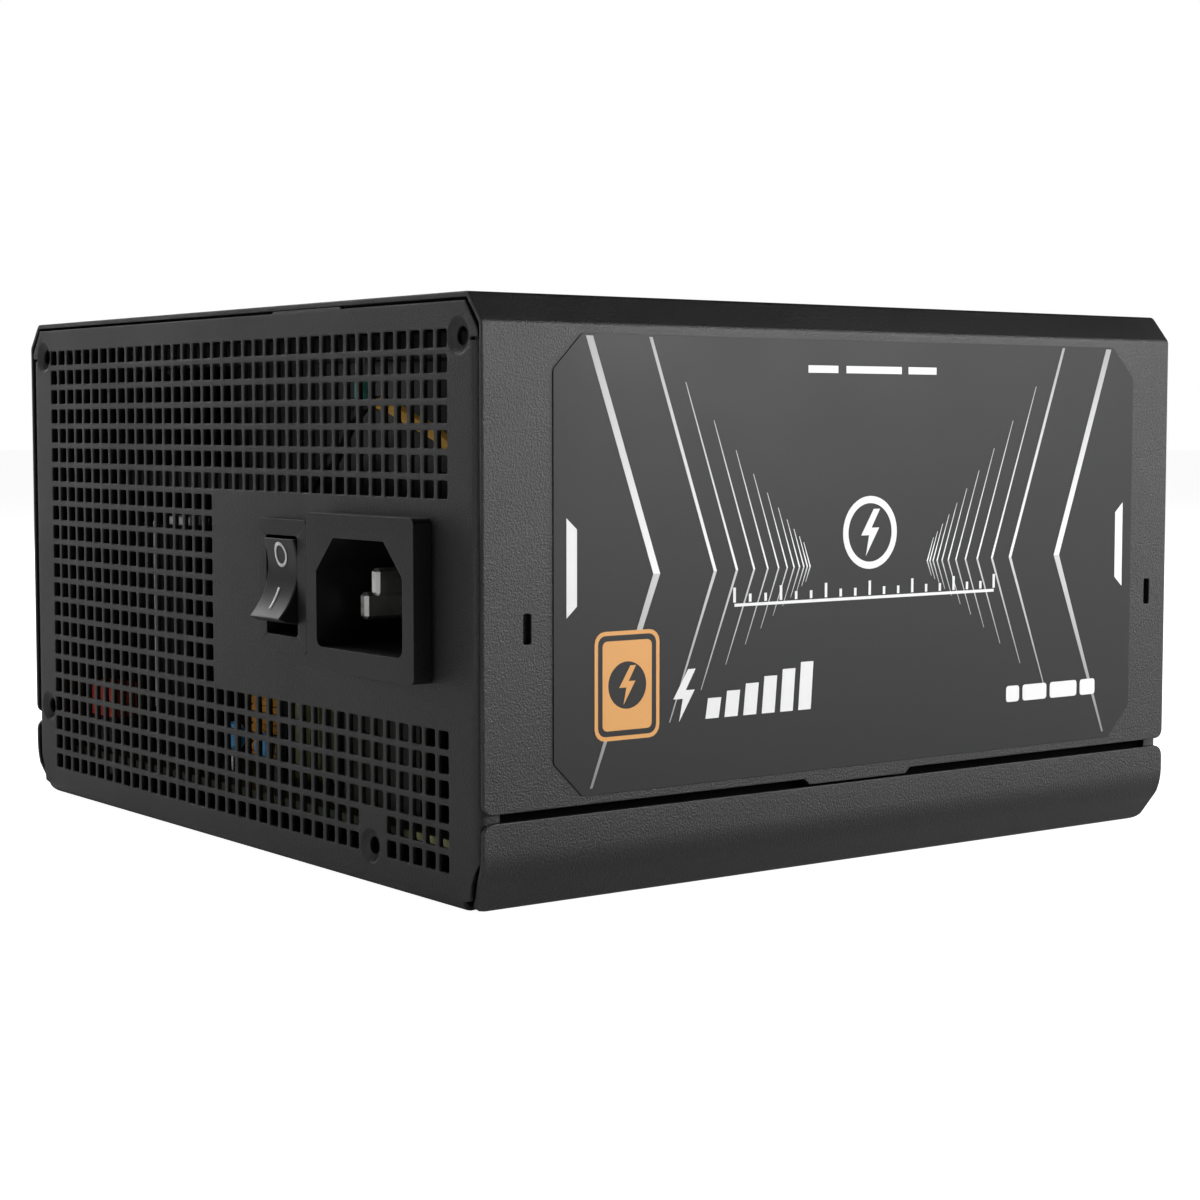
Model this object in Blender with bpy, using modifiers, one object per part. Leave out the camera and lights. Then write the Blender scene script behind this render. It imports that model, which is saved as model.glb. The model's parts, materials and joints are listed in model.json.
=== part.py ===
"""Computer power supply unit of the ATX size, as separate pieces.

Frame: metres, +Z up, origin at the middle of the underside. The panel with the mains inlet and
the switch faces -Y, the panel with the output sockets faces +Y, and the fan blows in from the top.
"""
import math

import bmesh
import bpy
from mathutils import Matrix, Vector

MM = 0.001
GAP = 0.3 * MM                      # between pieces that touch

# Case: folded sheet steel
SHEET = 0.8 * MM
HALF_WIDTH = 74.8 * MM              # outer face of the sides
HALF_DEPTH = 70.0 * MM              # outer face of the end panels
HEIGHT = 86.0 * MM
TOP_CHAMFER = (3.5 * MM, 4.2 * MM)  # along X and along Z
BOTTOM_CHAMFER = (4.0 * MM, 6.3 * MM)
SKIRT_TOP = 13.0 * MM
SLOT_HEIGHT = 1.2 * MM              # open seam between the skirt and the cover
SEAM_TAB = (-10.5 * MM, 9.5 * MM)   # stretch of the cover that reaches down into the seam
PANEL_HALF_WIDTH = HALF_WIDTH - SHEET - GAP
PANEL_TOP = HEIGHT - SHEET - 0.5 * MM
PANEL_FOOT = 69.3 * MM              # half length of the fold between the bottom and an end panel
PANEL_CORNER = 5.9 * MM             # height of the cut-off at the panel's lower corners
FLANGE_DEPTH = 13.0 * MM            # the end panels' side flanges, which the cover lies over
SKIRT_END = 66.6 * MM               # the skirts stop short of the end panels

# Grille of the rear panel: windows between the bars, and the solid patch around the fittings
WINDOW = 6.0 * MM
WINDOW_PITCH = 7.0 * MM
WINDOW_COLUMNS = 19
WINDOW_ROWS = 11
WINDOW_LEFT = -66.0 * MM
WINDOW_TOP = 81.0 * MM
PATCH_FIRST_COLUMN = 9
PATCH_ROWS = range(3, 8)
SCREW_PLACE_COLUMNS = (15, 16)      # in the lowest row, around the fourth mounting hole
MOUNT_HOLES = ((-69.0 * MM, 80.0 * MM), (69.0 * MM, 80.0 * MM),
               (-69.0 * MM, 16.0 * MM), (45.0 * MM, 6.0 * MM))
MOUNT_HOLE_RADIUS = 1.75 * MM

# Fan, 120 mm
FAN_HALF = 60.0 * MM
FAN_TOP = 81.5 * MM
FAN_BOTTOM = 56.5 * MM
FAN_BORE = 57.0 * MM
FAN_HOLE_PITCH = 52.5 * MM          # from the middle, along X and along Y
FAN_FLANGE = 4.0 * MM
ROTOR_HUB = 20.5 * MM
ROTOR_TIP = 55.5 * MM
ROTOR_TOP = 80.5 * MM
ROTOR_FOOT = 60.0 * MM
BLADES = 9
SHAFT_RADIUS = 1.5 * MM
RECESS_HALF = 61.6 * MM             # pressed into the cover's top for the fan guard
RECESS_FLOOR = 82.6 * MM
RECESS_RADIUS = 8.0 * MM
GUARD_RINGS = (8.0 * MM, 20.5 * MM, 33.0 * MM, 45.0 * MM, 57.0 * MM)
GUARD_WIRE = 1.4 * MM
GUARD_LEG = 1.6 * MM                # width and height of the legs below the rings
STRUT_TURN = math.radians(20)       # from +X to the frame's first strut

# What holds the cover
COVER_SCREW_PLACE = (67.0 * MM, 64.5 * MM)
DIMPLE_FLOOR = 84.8 * MM            # the cover screws' heads sit on it
TAB_FOOT = 82.9 * MM                # the chassis tabs under the dimples
COVER_SLOTS = ((-63.3 * MM, -62.0 * MM), (64.7 * MM, 66.0 * MM))    # y, through both sides
COVER_SLOT_Z = (37.5 * MM, 41.7 * MM)

# Printed film on the sides: y, z and the cut-off corners
LABEL_Y = (-58.3 * MM, 61.0 * MM)
LABEL_Z = (15.5 * MM, 80.5 * MM)
LABEL_CORNER = 5.0 * MM
LABEL_FILM = 0.2 * MM

# Mains inlet and rocker switch, in the rear panel
INLET = (47.0 * MM, 43.05 * MM)
INLET_FLANGE = (30.0 * MM, 23.4 * MM)
INLET_BODY = (26.8 * MM, 19.8 * MM)
INLET_MOUTH = (24.0 * MM, 16.3 * MM)
INLET_CORNER = 5.0 * MM
INLET_PROUD = 3.1 * MM
INLET_FLOOR = -58.0 * MM
INLET_BACK = -54.0 * MM
PIN_SIZE = (2.0 * MM, 4.0 * MM)
PIN_TAIL = -46.0 * MM
PINS = {"line": (-7.0 * MM, 41.0 * MM, -68.1 * MM),     # x from the inlet's middle, z, tip y
        "neutral": (7.0 * MM, 41.0 * MM, -68.1 * MM),
        "earth": (0.0, 45.0 * MM, -70.4 * MM)}
SWITCH = (20.8 * MM, 43.15 * MM)
SWITCH_BEZEL = (15.0 * MM, 20.4 * MM)
SWITCH_BODY = (12.4 * MM, 18.8 * MM)
SWITCH_MOUTH = (10.0 * MM, 15.9 * MM)
SWITCH_PROUD = 1.0 * MM
SWITCH_FLOOR = -57.5 * MM
SWITCH_BACK = -54.5 * MM
ROCKER_PIVOT = (-66.9 * MM, 43.0 * MM)                  # y, z
ROCKER_WIDTH = 9.3 * MM
ROCKER_RADIUS = 8.8 * MM                                # pivot to either tip
ROCKER_SWING = math.radians(24)

# Boards
BOARD = 1.6 * MM
BOARD_FLOOR = 7.0 * MM
BOARD_HALF_WIDTH = 68.0 * MM
BOARD_Y = (-66.0 * MM, 62.0 * MM)
BOARD_SCREWS = ((-62 * MM, -60 * MM), (62 * MM, -60 * MM), (-62 * MM, 46 * MM), (62 * MM, 46 * MM))
ON_BOARD = BOARD_FLOOR + BOARD + GAP
SOCKET_BACK = 57.6 * MM
SOCKET_RECESS = 9.5 * MM
SOCKET_WALL = 0.8 * MM
# name, pins along X, pitch, height, middle x, middle z
SOCKETS = (("socket_board_18", 9, 4.2 * MM, 9.6 * MM, -28.0 * MM, 47.0 * MM),
           ("socket_board_10", 5, 4.2 * MM, 9.6 * MM, 8.0 * MM, 47.0 * MM),
           ("socket_graphics_16", 6, 3.0 * MM, 8.0 * MM, 36.0 * MM, 47.0 * MM),
           ("socket_12v_1", 4, 4.2 * MM, 9.6 * MM, -38.5 * MM, 33.0 * MM),
           ("socket_12v_2", 4, 4.2 * MM, 9.6 * MM, -14.0 * MM, 33.0 * MM),
           ("socket_12v_3", 4, 4.2 * MM, 9.6 * MM, 10.5 * MM, 33.0 * MM),
           ("socket_12v_4", 4, 4.2 * MM, 9.6 * MM, 35.0 * MM, 33.0 * MM),
           ("socket_drive_1", 3, 4.2 * MM, 9.6 * MM, -14.0 * MM, 19.0 * MM),
           ("socket_drive_2", 3, 4.2 * MM, 9.6 * MM, 10.5 * MM, 19.0 * MM))

LEAD_RADIUS = 1.1 * MM


def collection(name):
    group = bpy.data.collections.new(name)
    bpy.context.scene.collection.children.link(group)
    return group


def material(name, colour, roughness, metallic=0.0):
    mat = bpy.data.materials.new(name)
    mat.use_nodes = True
    shader = mat.node_tree.nodes["Principled BSDF"]
    shader.inputs["Base Color"].default_value = (*colour, 1.0)
    shader.inputs["Roughness"].default_value = roughness
    shader.inputs["Metallic"].default_value = metallic
    mat.diffuse_color = (*colour, 1.0)
    return mat


for old in list(bpy.data.objects):
    bpy.data.objects.remove(old, do_unlink=True)

PARTS = collection("power_supply_unit")
CUTTERS = collection("cutters")

PAINT = material("black_powder_coat", (0.022, 0.022, 0.023), 0.6)
PLASTIC = material("black_plastic", (0.014, 0.014, 0.015), 0.42)
LABEL = material("label_film", (0.03, 0.031, 0.033), 0.4)
STEEL = material("bright_steel", (0.55, 0.55, 0.56), 0.3, 1.0)
BLACK_STEEL = material("blackened_steel", (0.05, 0.05, 0.05), 0.35, 1.0)
BRASS = material("tinned_brass", (0.72, 0.68, 0.58), 0.25, 1.0)
LAMINATE = material("board_laminate", (0.16, 0.2, 0.05), 0.5)
FILM = material("insulating_film", (0.5, 0.48, 0.4), 0.4)
ALUMINIUM = material("aluminium", (0.62, 0.63, 0.64), 0.35, 1.0)
SLEEVE = material("capacitor_sleeve", (0.02, 0.02, 0.03), 0.35)
BOX_FILM = material("film_capacitor_case", (0.09, 0.08, 0.05), 0.45)
TAPE = material("transformer_tape", (0.75, 0.42, 0.04), 0.4)
ENAMEL = material("enamelled_wire", (0.45, 0.16, 0.05), 0.3, 0.6)
WINDING = material("olive_winding", (0.33, 0.31, 0.08), 0.4)
FERRITE = material("magnet_ferrite", (0.06, 0.06, 0.06), 0.6)
LEAD_COLOURS = {"brown": (0.12, 0.05, 0.02), "blue": (0.03, 0.08, 0.35),
                "green": (0.1, 0.35, 0.05), "yellow": (0.8, 0.5, 0.05)}


def new_object(name, bm, look=None):
    """An object from a bmesh: a piece when it has a material, a cutter when it has none."""
    bmesh.ops.recalc_face_normals(bm, faces=bm.faces)
    mesh = bpy.data.meshes.new(name)
    bm.to_mesh(mesh)
    bm.free()
    obj = bpy.data.objects.new(name, mesh)
    if look:
        mesh.materials.append(look)
        PARTS.objects.link(obj)
    else:
        CUTTERS.objects.link(obj)
        obj.hide_render = True
        obj.display_type = "WIRE"
    return obj


def put_box(bm, low, high):
    middle = (Vector(low) + Vector(high)) / 2
    size = Vector(high) - Vector(low)
    bmesh.ops.create_cube(bm, size=1.0, matrix=Matrix.Translation(middle) @ Matrix.Diagonal((*size, 1)))


def put_cylinder(bm, centre, radius, depth, axis="Z", segments=24):
    """A cylinder whose middle is at centre."""
    turn = {"X": Matrix.Rotation(math.pi / 2, 4, "Y"), "Y": Matrix.Rotation(math.pi / 2, 4, "X"),
            "Z": Matrix.Identity(4)}[axis]
    bmesh.ops.create_cone(bm, cap_ends=True, segments=segments, radius1=radius, radius2=radius,
                          depth=depth, matrix=Matrix.Translation(centre) @ turn)


def put_prism(bm, outline, axis, start, end):
    """An outline pushed along an axis: (x, z) points along Y, (y, z) along X, (x, y) along Z."""
    place = {"X": lambda a, b: (start, a, b), "Y": lambda a, b: (a, start, b),
             "Z": lambda a, b: (a, b, start)}[axis]
    face = bm.faces.new([bm.verts.new(place(a, b)) for a, b in outline])
    pushed = bmesh.ops.extrude_face_region(bm, geom=[face])
    step = {"X": (end - start, 0, 0), "Y": (0, end - start, 0), "Z": (0, 0, end - start)}[axis]
    moving = [item for item in pushed["geom"] if isinstance(item, bmesh.types.BMVert)]
    bmesh.ops.translate(bm, vec=step, verts=moving)


def rounded_square(half, radius, steps=4):
    """Corner arcs of a square outline."""
    points = []
    for quarter in range(4):
        centre = Vector((half - radius, half - radius))
        centre.rotate(Matrix.Rotation(quarter * math.pi / 2, 2))
        for step in range(steps + 1):
            angle = (quarter + step / steps) * math.pi / 2
            points.append((centre.x + radius * math.cos(angle), centre.y + radius * math.sin(angle)))
    return points


def box(name, low, high, look=None):
    bm = bmesh.new()
    put_box(bm, low, high)
    return new_object(name, bm, look)


def cylinder(name, centre, radius, depth, look=None, axis="Z", segments=24):
    bm = bmesh.new()
    put_cylinder(bm, centre, radius, depth, axis, segments)
    return smooth(new_object(name, bm, look))


def prism(name, outline, axis, start, end, look=None):
    bm = bmesh.new()
    put_prism(bm, outline, axis, start, end)
    return new_object(name, bm, look)


def turned(name, profile, look=None, segments=24):
    """A (radius, z) profile, closed on itself or ending on the axis, turned about Z."""
    bm = bmesh.new()
    verts = [bm.verts.new((radius, 0, z)) for radius, z in profile]
    for first, second in zip(verts, verts[1:]):
        bm.edges.new((first, second))
    if min(radius for radius, _ in profile) > 0:
        bm.edges.new((verts[-1], verts[0]))
    obj = new_object(name, bm, look)
    screw = obj.modifiers.new("turn", "SCREW")
    screw.steps = segments
    screw.render_steps = segments
    screw.use_merge_vertices = True
    screw.merge_threshold = 0.00001
    return smooth(obj)


def smooth(obj):
    obj.data.shade_smooth()
    obj.data.set_sharp_from_angle(angle=math.radians(35))
    return obj


def combine(target, operand, operation="DIFFERENCE"):
    modifier = target.modifiers.new(operation.lower(), "BOOLEAN")
    modifier.operation = operation
    modifier.solver = "EXACT"
    modifier.object = operand
    return target


def mirrored(outline):
    """A half outline at +X, from the middle outwards and round, completed at -X."""
    return outline + [(-x, z) for x, z in reversed(outline)]


# ---------------------------------------------------------------- case

def build_base():
    """Bottom, skirts and both end panels: one folded sheet, open at the sides and the top."""
    run, drop = BOTTOM_CHAMFER
    slope = math.atan2(drop, run)
    outer = mirrored([(HALF_WIDTH - run, 0), (HALF_WIDTH, drop),
                      (HALF_WIDTH, SKIRT_TOP), (PANEL_HALF_WIDTH, SKIRT_TOP),
                      (PANEL_HALF_WIDTH, PANEL_TOP - 4.1 * MM), (PANEL_HALF_WIDTH - 3.1 * MM, PANEL_TOP)])
    inside = HALF_WIDTH - SHEET
    inner = mirrored([(HALF_WIDTH - run - SHEET * math.tan(slope / 2), SHEET),
                      (inside, drop + SHEET * math.tan(math.pi / 4 - slope / 2)),
                      (inside, SKIRT_TOP - SHEET), (PANEL_HALF_WIDTH - SHEET, SKIRT_TOP - SHEET),
                      (PANEL_HALF_WIDTH - SHEET, HEIGHT)])
    base = prism("base_chassis", outer, "Y", -HALF_DEPTH, HALF_DEPTH, PAINT)
    combine(base, prism("cut_inside", inner, "Y", SHEET - HALF_DEPTH, HALF_DEPTH - SHEET))

    cuts = bmesh.new()
    reach = HALF_DEPTH - FLANGE_DEPTH
    for side in (-1, 1):
        low, high = sorted((side * 60 * MM, side * 80 * MM))
        put_box(cuts, (low, -reach, SKIRT_TOP - SHEET / 2), (high, reach, HEIGHT + MM))
    combine(base, new_object("cut_sides", cuts))
    corners = bmesh.new()
    corner = [(PANEL_FOOT, -MM), (80 * MM, -MM), (80 * MM, SKIRT_TOP + 0.1 * MM),
              (PANEL_HALF_WIDTH + 0.02 * MM, SKIRT_TOP + 0.1 * MM),
              (PANEL_HALF_WIDTH + 0.02 * MM, PANEL_CORNER), (PANEL_FOOT, 0.02 * MM)]
    for side in (-1, 1):
        outline = [(side * x, z) for x, z in corner]
        for end in (-1, 1):
            put_prism(corners, outline, "Y", end * SKIRT_END, end * (HALF_DEPTH + MM))
    combine(base, new_object("cut_corners", corners))

    for x, y in BOARD_SCREWS:
        post = cylinder("board_post", (x, y, 3.5 * MM), 3.4 * MM, 6.4 * MM, segments=12)
        combine(base, post, "UNION")
    tab_x, tab_y = COVER_SCREW_PLACE
    tab_half = 4.5 * MM
    for side in (-1, 1):
        for end in (-1, 1):
            y_low, y_high = sorted((end * (HALF_DEPTH - 11.5 * MM), end * (HALF_DEPTH - SHEET / 2)))
            tab = box("tab", (side * tab_x - tab_half, y_low, TAB_FOOT),
                      (side * tab_x + tab_half, y_high, TAB_FOOT + SHEET))
            combine(base, tab, "UNION")

    holes = bmesh.new()
    for x, y in BOARD_SCREWS:
        put_cylinder(holes, (x, y, 3 * MM), 1.7 * MM, 12 * MM, segments=12)
    for side in (-1, 1):
        for end in (-1, 1):
            put_cylinder(holes, (side * tab_x, end * tab_y, TAB_FOOT), 1.9 * MM, 6 * MM, segments=12)
    for x, z in MOUNT_HOLES:
        put_cylinder(holes, (x, -HALF_DEPTH, z), MOUNT_HOLE_RADIUS, 6 * MM, "Y", 16)
    for (x, z), (width, height) in ((INLET, INLET_BODY), (SWITCH, SWITCH_BODY)):
        put_box(holes, (x - width / 2 - GAP, -HALF_DEPTH - MM, z - height / 2 - GAP),
                (x + width / 2 + GAP, -HALF_DEPTH + 2 * MM, z + height / 2 + GAP))
    for name, pins, pitch, height, x, z in SOCKETS:
        half = socket_width(pins, pitch) / 2 + GAP
        put_box(holes, (x - half, HALF_DEPTH - 2 * MM, z - height / 2 - GAP),
                (x + half, HALF_DEPTH + MM, z + height / 2 + GAP))
    combine(base, new_object("cut_holes", holes))
    combine(base, grille_windows())


def grille_windows():
    windows = bmesh.new()
    for column in range(WINDOW_COLUMNS):
        for row in range(WINDOW_ROWS):
            in_patch = column >= PATCH_FIRST_COLUMN and row in PATCH_ROWS
            at_screw = column in SCREW_PLACE_COLUMNS and row == WINDOW_ROWS - 1
            if in_patch or at_screw:
                continue
            left = WINDOW_LEFT + column * WINDOW_PITCH
            top = WINDOW_TOP - row * WINDOW_PITCH
            put_box(windows, (left, -HALF_DEPTH - MM, top - WINDOW),
                    (left + WINDOW, -HALF_DEPTH + 2 * MM, top))
    return new_object("cut_windows", windows)


def build_cover():
    """Top and both sides: the second folded sheet, with a pressed recess around the fan opening."""
    run, drop = TOP_CHAMFER
    foot = SKIRT_TOP + SLOT_HEIGHT
    outer = [(HALF_WIDTH, foot), (HALF_WIDTH, HEIGHT - drop), (HALF_WIDTH - run, HEIGHT)]
    mitre = 0.35 * MM
    inner = [(HALF_WIDTH - run - mitre, HEIGHT - SHEET), (HALF_WIDTH - SHEET, HEIGHT - drop - mitre),
             (HALF_WIDTH - SHEET, foot)]
    outline = mirrored(outer) + [(-x, z) for x, z in reversed(inner)] + inner
    cover = prism("top_cover", outline, "Y", -HALF_DEPTH, HALF_DEPTH, PAINT)

    floor = RECESS_FLOOR - SHEET
    combine(cover, prism("recess_tray", rounded_square(RECESS_HALF + SHEET, RECESS_RADIUS + SHEET), "Z",
                         floor, HEIGHT - SHEET / 2), "UNION")
    dimples = bmesh.new()
    tab_x, tab_y = COVER_SCREW_PLACE
    places = [(side * tab_x, end * tab_y) for side in (-1, 1) for end in (-1, 1)]
    for x, y in places:
        put_cylinder(dimples, (x, y, DIMPLE_FLOOR), 4.2 * MM, 2 * SHEET, segments=12)
    combine(cover, new_object("dimple_cups", dimples), "UNION")

    cuts = bmesh.new()
    put_prism(cuts, rounded_square(RECESS_HALF, RECESS_RADIUS), "Z", RECESS_FLOOR, HEIGHT + MM)
    for x, y in places:
        put_cylinder(cuts, (x, y, DIMPLE_FLOOR + 1.5 * MM), 3.4 * MM, 3 * MM, segments=12)
    combine(cover, new_object("cut_recess", cuts))

    holes = bmesh.new()
    put_cylinder(holes, (0, 0, RECESS_FLOOR), FAN_BORE + 0.5 * MM, 6 * MM, segments=36)
    for x in (-FAN_HOLE_PITCH, FAN_HOLE_PITCH):
        for y in (-FAN_HOLE_PITCH, FAN_HOLE_PITCH):
            put_cylinder(holes, (x, y, RECESS_FLOOR), 2.2 * MM, 6 * MM, segments=12)
    for x, y in places:
        put_cylinder(holes, (x, y, DIMPLE_FLOOR), 2.0 * MM, 6 * MM, segments=12)
    for y_low, y_high in COVER_SLOTS:
        put_box(holes, (-80 * MM, y_low, COVER_SLOT_Z[0]), (80 * MM, y_high, COVER_SLOT_Z[1]))
    combine(cover, new_object("cut_cover_holes", holes))
    for side in (-1, 1):
        inner_x, outer_x = sorted((side * (HALF_WIDTH - SHEET), side * HALF_WIDTH))
        combine(cover, box("seam_tab", (inner_x, SEAM_TAB[0], SKIRT_TOP + GAP),
                           (outer_x, SEAM_TAB[1], foot + 0.5 * MM)), "UNION")


def build_labels():
    """Printed film on both sides of the cover, with cut-off corners."""
    y_low, y_high = LABEL_Y
    z_low, z_high = LABEL_Z
    cut = LABEL_CORNER
    outline = [(y_low + cut, z_low), (y_high - cut, z_low), (y_high, z_low + cut),
               (y_high, z_high - cut), (y_high - cut, z_high), (y_low + cut, z_high),
               (y_low, z_high - cut), (y_low, z_low + cut)]
    inside, outside = HALF_WIDTH + 0.2 * MM, HALF_WIDTH + 0.2 * MM + LABEL_FILM
    prism("label_right", outline, "X", inside, outside, LABEL)
    prism("label_left", outline, "X", -outside, -inside, LABEL)


def screw(name, x, y, head_floor, head_radius, head_height, shank_radius, length, look):
    """A pan-headed screw pointing down, turned in one piece."""
    top = head_floor + head_height
    tip = head_floor - length
    profile = [(0, top), (head_radius * 0.8, top), (head_radius, head_floor + head_height * 0.5),
               (head_radius, head_floor), (shank_radius, head_floor), (shank_radius, tip), (0, tip)]
    obj = turned(name, profile, look, 10)
    obj.location = (x, y, 0)


def build_screws():
    corners = [(side, end) for side in (-1, 1) for end in (-1, 1)]
    guard_top = RECESS_FLOOR + GAP + GUARD_LEG
    for number, (side, end) in enumerate(corners, 1):
        screw(f"cover_screw_{number}", side * COVER_SCREW_PLACE[0], end * COVER_SCREW_PLACE[1],
              DIMPLE_FLOOR + GAP, 3.0 * MM, 0.85 * MM, 1.5 * MM, 4.5 * MM, BLACK_STEEL)
        screw(f"fan_screw_{number}", side * FAN_HOLE_PITCH, end * FAN_HOLE_PITCH,
              guard_top + GAP, 3.1 * MM, 1.1 * MM, 1.6 * MM, 8.0 * MM, BLACK_STEEL)
    for number, (x, y) in enumerate(BOARD_SCREWS, 1):
        screw(f"board_screw_{number}", x, y, ON_BOARD, 2.9 * MM, 1.8 * MM, 1.3 * MM, 6.0 * MM, STEEL)


# ---------------------------------------------------------------- fan

def build_guard():
    """Rings on four diagonal legs that end in eyes under the fan screws."""
    leg_low = RECESS_FLOOR + GAP
    leg_high = leg_low + GUARD_LEG
    ring_low = leg_high - 0.2 * MM
    rings = [ring_profile(radius - GUARD_WIRE / 2, radius + GUARD_WIRE / 2, ring_low, ring_low + GUARD_WIRE)
             for radius in GUARD_RINGS]
    guard = turned("fan_guard", rings[0], BLACK_STEEL, 28)
    for profile in rings[1:]:
        combine(guard, turned("guard_ring", profile, segments=28), "UNION")
    for turn in range(4):
        angle = math.radians(45 + 90 * turn)
        leg = bmesh.new()
        put_box(leg, (GUARD_RINGS[0] - 2 * MM, -GUARD_LEG / 2, leg_low),
                (70.6 * MM, GUARD_LEG / 2, leg_high))
        obj = new_object("guard_leg", leg)
        obj.rotation_euler.z = angle
        combine(guard, obj, "UNION")
        eye = cylinder("guard_eye", (FAN_HOLE_PITCH * math.copysign(1, math.cos(angle)),
                                     FAN_HOLE_PITCH * math.copysign(1, math.sin(angle)),
                                     (leg_low + leg_high) / 2), 4.0 * MM, 1.5 * MM, segments=12)
        combine(guard, eye, "UNION")
    eyes = bmesh.new()
    for x in (-FAN_HOLE_PITCH, FAN_HOLE_PITCH):
        for y in (-FAN_HOLE_PITCH, FAN_HOLE_PITCH):
            put_cylinder(eyes, (x, y, leg_low), 2.1 * MM, 8 * MM, segments=12)
    combine(guard, new_object("cut_eyes", eyes))


def build_fan_frame():
    """Duct with corner flanges, and the hub plate on four struts that carries the bearing tube."""
    bm = bmesh.new()
    put_prism(bm, rounded_square(FAN_HALF, 5 * MM, 2), "Z", FAN_BOTTOM, FAN_BOTTOM + FAN_FLANGE)
    frame = new_object("fan_frame", bm, PLASTIC)
    outline = rounded_square(FAN_HALF, 5 * MM, 2)
    combine(frame, prism("frame_top", outline, "Z", FAN_TOP - FAN_FLANGE, FAN_TOP), "UNION")
    middle = (FAN_TOP + FAN_BOTTOM) / 2
    height = FAN_TOP - FAN_BOTTOM - MM
    combine(frame, cylinder("duct", (0, 0, middle), FAN_HALF - 0.4 * MM, height, segments=36), "UNION")
    cuts = bmesh.new()
    put_cylinder(cuts, (0, 0, middle), FAN_BORE, 30 * MM, segments=36)
    for x in (-FAN_HOLE_PITCH, FAN_HOLE_PITCH):
        for y in (-FAN_HOLE_PITCH, FAN_HOLE_PITCH):
            put_cylinder(cuts, (x, y, middle), 2.1 * MM, 30 * MM, segments=10)
    combine(frame, new_object("cut_frame", cuts))
    for turn in range(2):
        bm = bmesh.new()
        reach = (FAN_BORE + FAN_HALF) / 2 - 0.2 * MM
        put_box(bm, (-reach, -2 * MM, FAN_BOTTOM + 0.3 * MM), (reach, 2 * MM, FAN_BOTTOM + 2.3 * MM))
        strut = new_object("strut", bm)
        strut.rotation_euler.z = STRUT_TURN + turn * math.pi / 2
        combine(frame, strut, "UNION")
    plate_top, tube_floor, tube_top = FAN_BOTTOM + 2.5 * MM, FAN_BOTTOM + 1.6 * MM, 73 * MM
    hub = turned("hub_plate", [(5.0 * MM, tube_top), (5.0 * MM, plate_top), (20 * MM, plate_top),
                               (20 * MM, FAN_BOTTOM), (0, FAN_BOTTOM), (0, tube_floor),
                               (4.2 * MM, tube_floor), (4.2 * MM, tube_top)], segments=20)
    close_turned(hub)
    combine(frame, hub, "UNION")


def close_turned(obj):
    """Joins the first and last points of a turned profile that touches the axis in its middle."""
    bm = bmesh.new()
    bm.from_mesh(obj.data)
    bm.verts.ensure_lookup_table()
    bm.edges.new((bm.verts[-1], bm.verts[0]))
    doubled = [edge for edge in bm.edges if all(v.co.x == 0 for v in edge.verts)]
    bmesh.ops.delete(bm, geom=doubled, context="EDGES")
    bm.to_mesh(obj.data)
    bm.free()


def build_rotor():
    """Cup-shaped hub with nine swept blades, its magnet ring and its shaft, which turn together."""
    axis = bpy.data.objects.new("fan_axis", None)
    PARTS.objects.link(axis)
    hub = ROTOR_HUB
    wall = 1.5 * MM
    top = ROTOR_TOP
    boss, boss_foot = 3.2 * MM, top - 6 * MM
    rotor = turned("fan_rotor", [(0, top), (hub - 2 * MM, top), (hub, top - 2 * MM), (hub, ROTOR_FOOT),
                                 (hub - wall, ROTOR_FOOT), (hub - wall, top - wall), (boss, top - wall),
                                 (boss, boss_foot), (SHAFT_RADIUS + GAP, boss_foot),
                                 (SHAFT_RADIUS + GAP, top - wall), (0, top - wall)], PLASTIC, 28)
    combine(rotor, fan_blades(), "UNION")
    magnet = turned("fan_magnet", ring_profile(17.2 * MM, 18.7 * MM, 61.5 * MM, 73 * MM), FERRITE, 16)
    shaft = cylinder("fan_shaft", (0, 0, 68.9 * MM), SHAFT_RADIUS, 19.4 * MM, STEEL, segments=16)
    for piece in (rotor, magnet, shaft):
        piece.parent = axis


def ring_profile(inner, outer, low, high):
    return [(outer, high), (outer, low), (inner, low), (inner, high)]


def fan_blades():
    """Curved plates from inside the hub's wall to the tips, swept forward, with less pitch outwards."""
    bm = bmesh.new()
    for blade in range(BLADES):
        grid = bmesh.ops.create_grid(bm, x_segments=3, y_segments=4, size=1.0)
        for vert in grid["verts"]:
            outward = (vert.co.x + 1) / 2
            along = (vert.co.y + 1) / 2
            radius = ROTOR_HUB - 0.7 * MM + outward * (ROTOR_TIP - ROTOR_HUB + 0.7 * MM)
            sweep = math.radians(20) * outward ** 1.6
            span = math.radians(36 - 5 * outward)
            angle = blade * math.tau / BLADES + sweep + span * (along - 0.5)
            depth = (17.0 - 3.5 * outward) * MM
            bow = 1.6 * MM * math.sin(math.pi * along)
            height = 70.2 * MM + depth * (0.5 - along) - bow
            vert.co = (radius * math.cos(angle), radius * math.sin(angle), height)
    blades = new_object("blade_plates", bm)
    solid = blades.modifiers.new("thickness", "SOLIDIFY")
    solid.thickness = 1.3 * MM
    solid.offset = 0
    return blades


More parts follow.
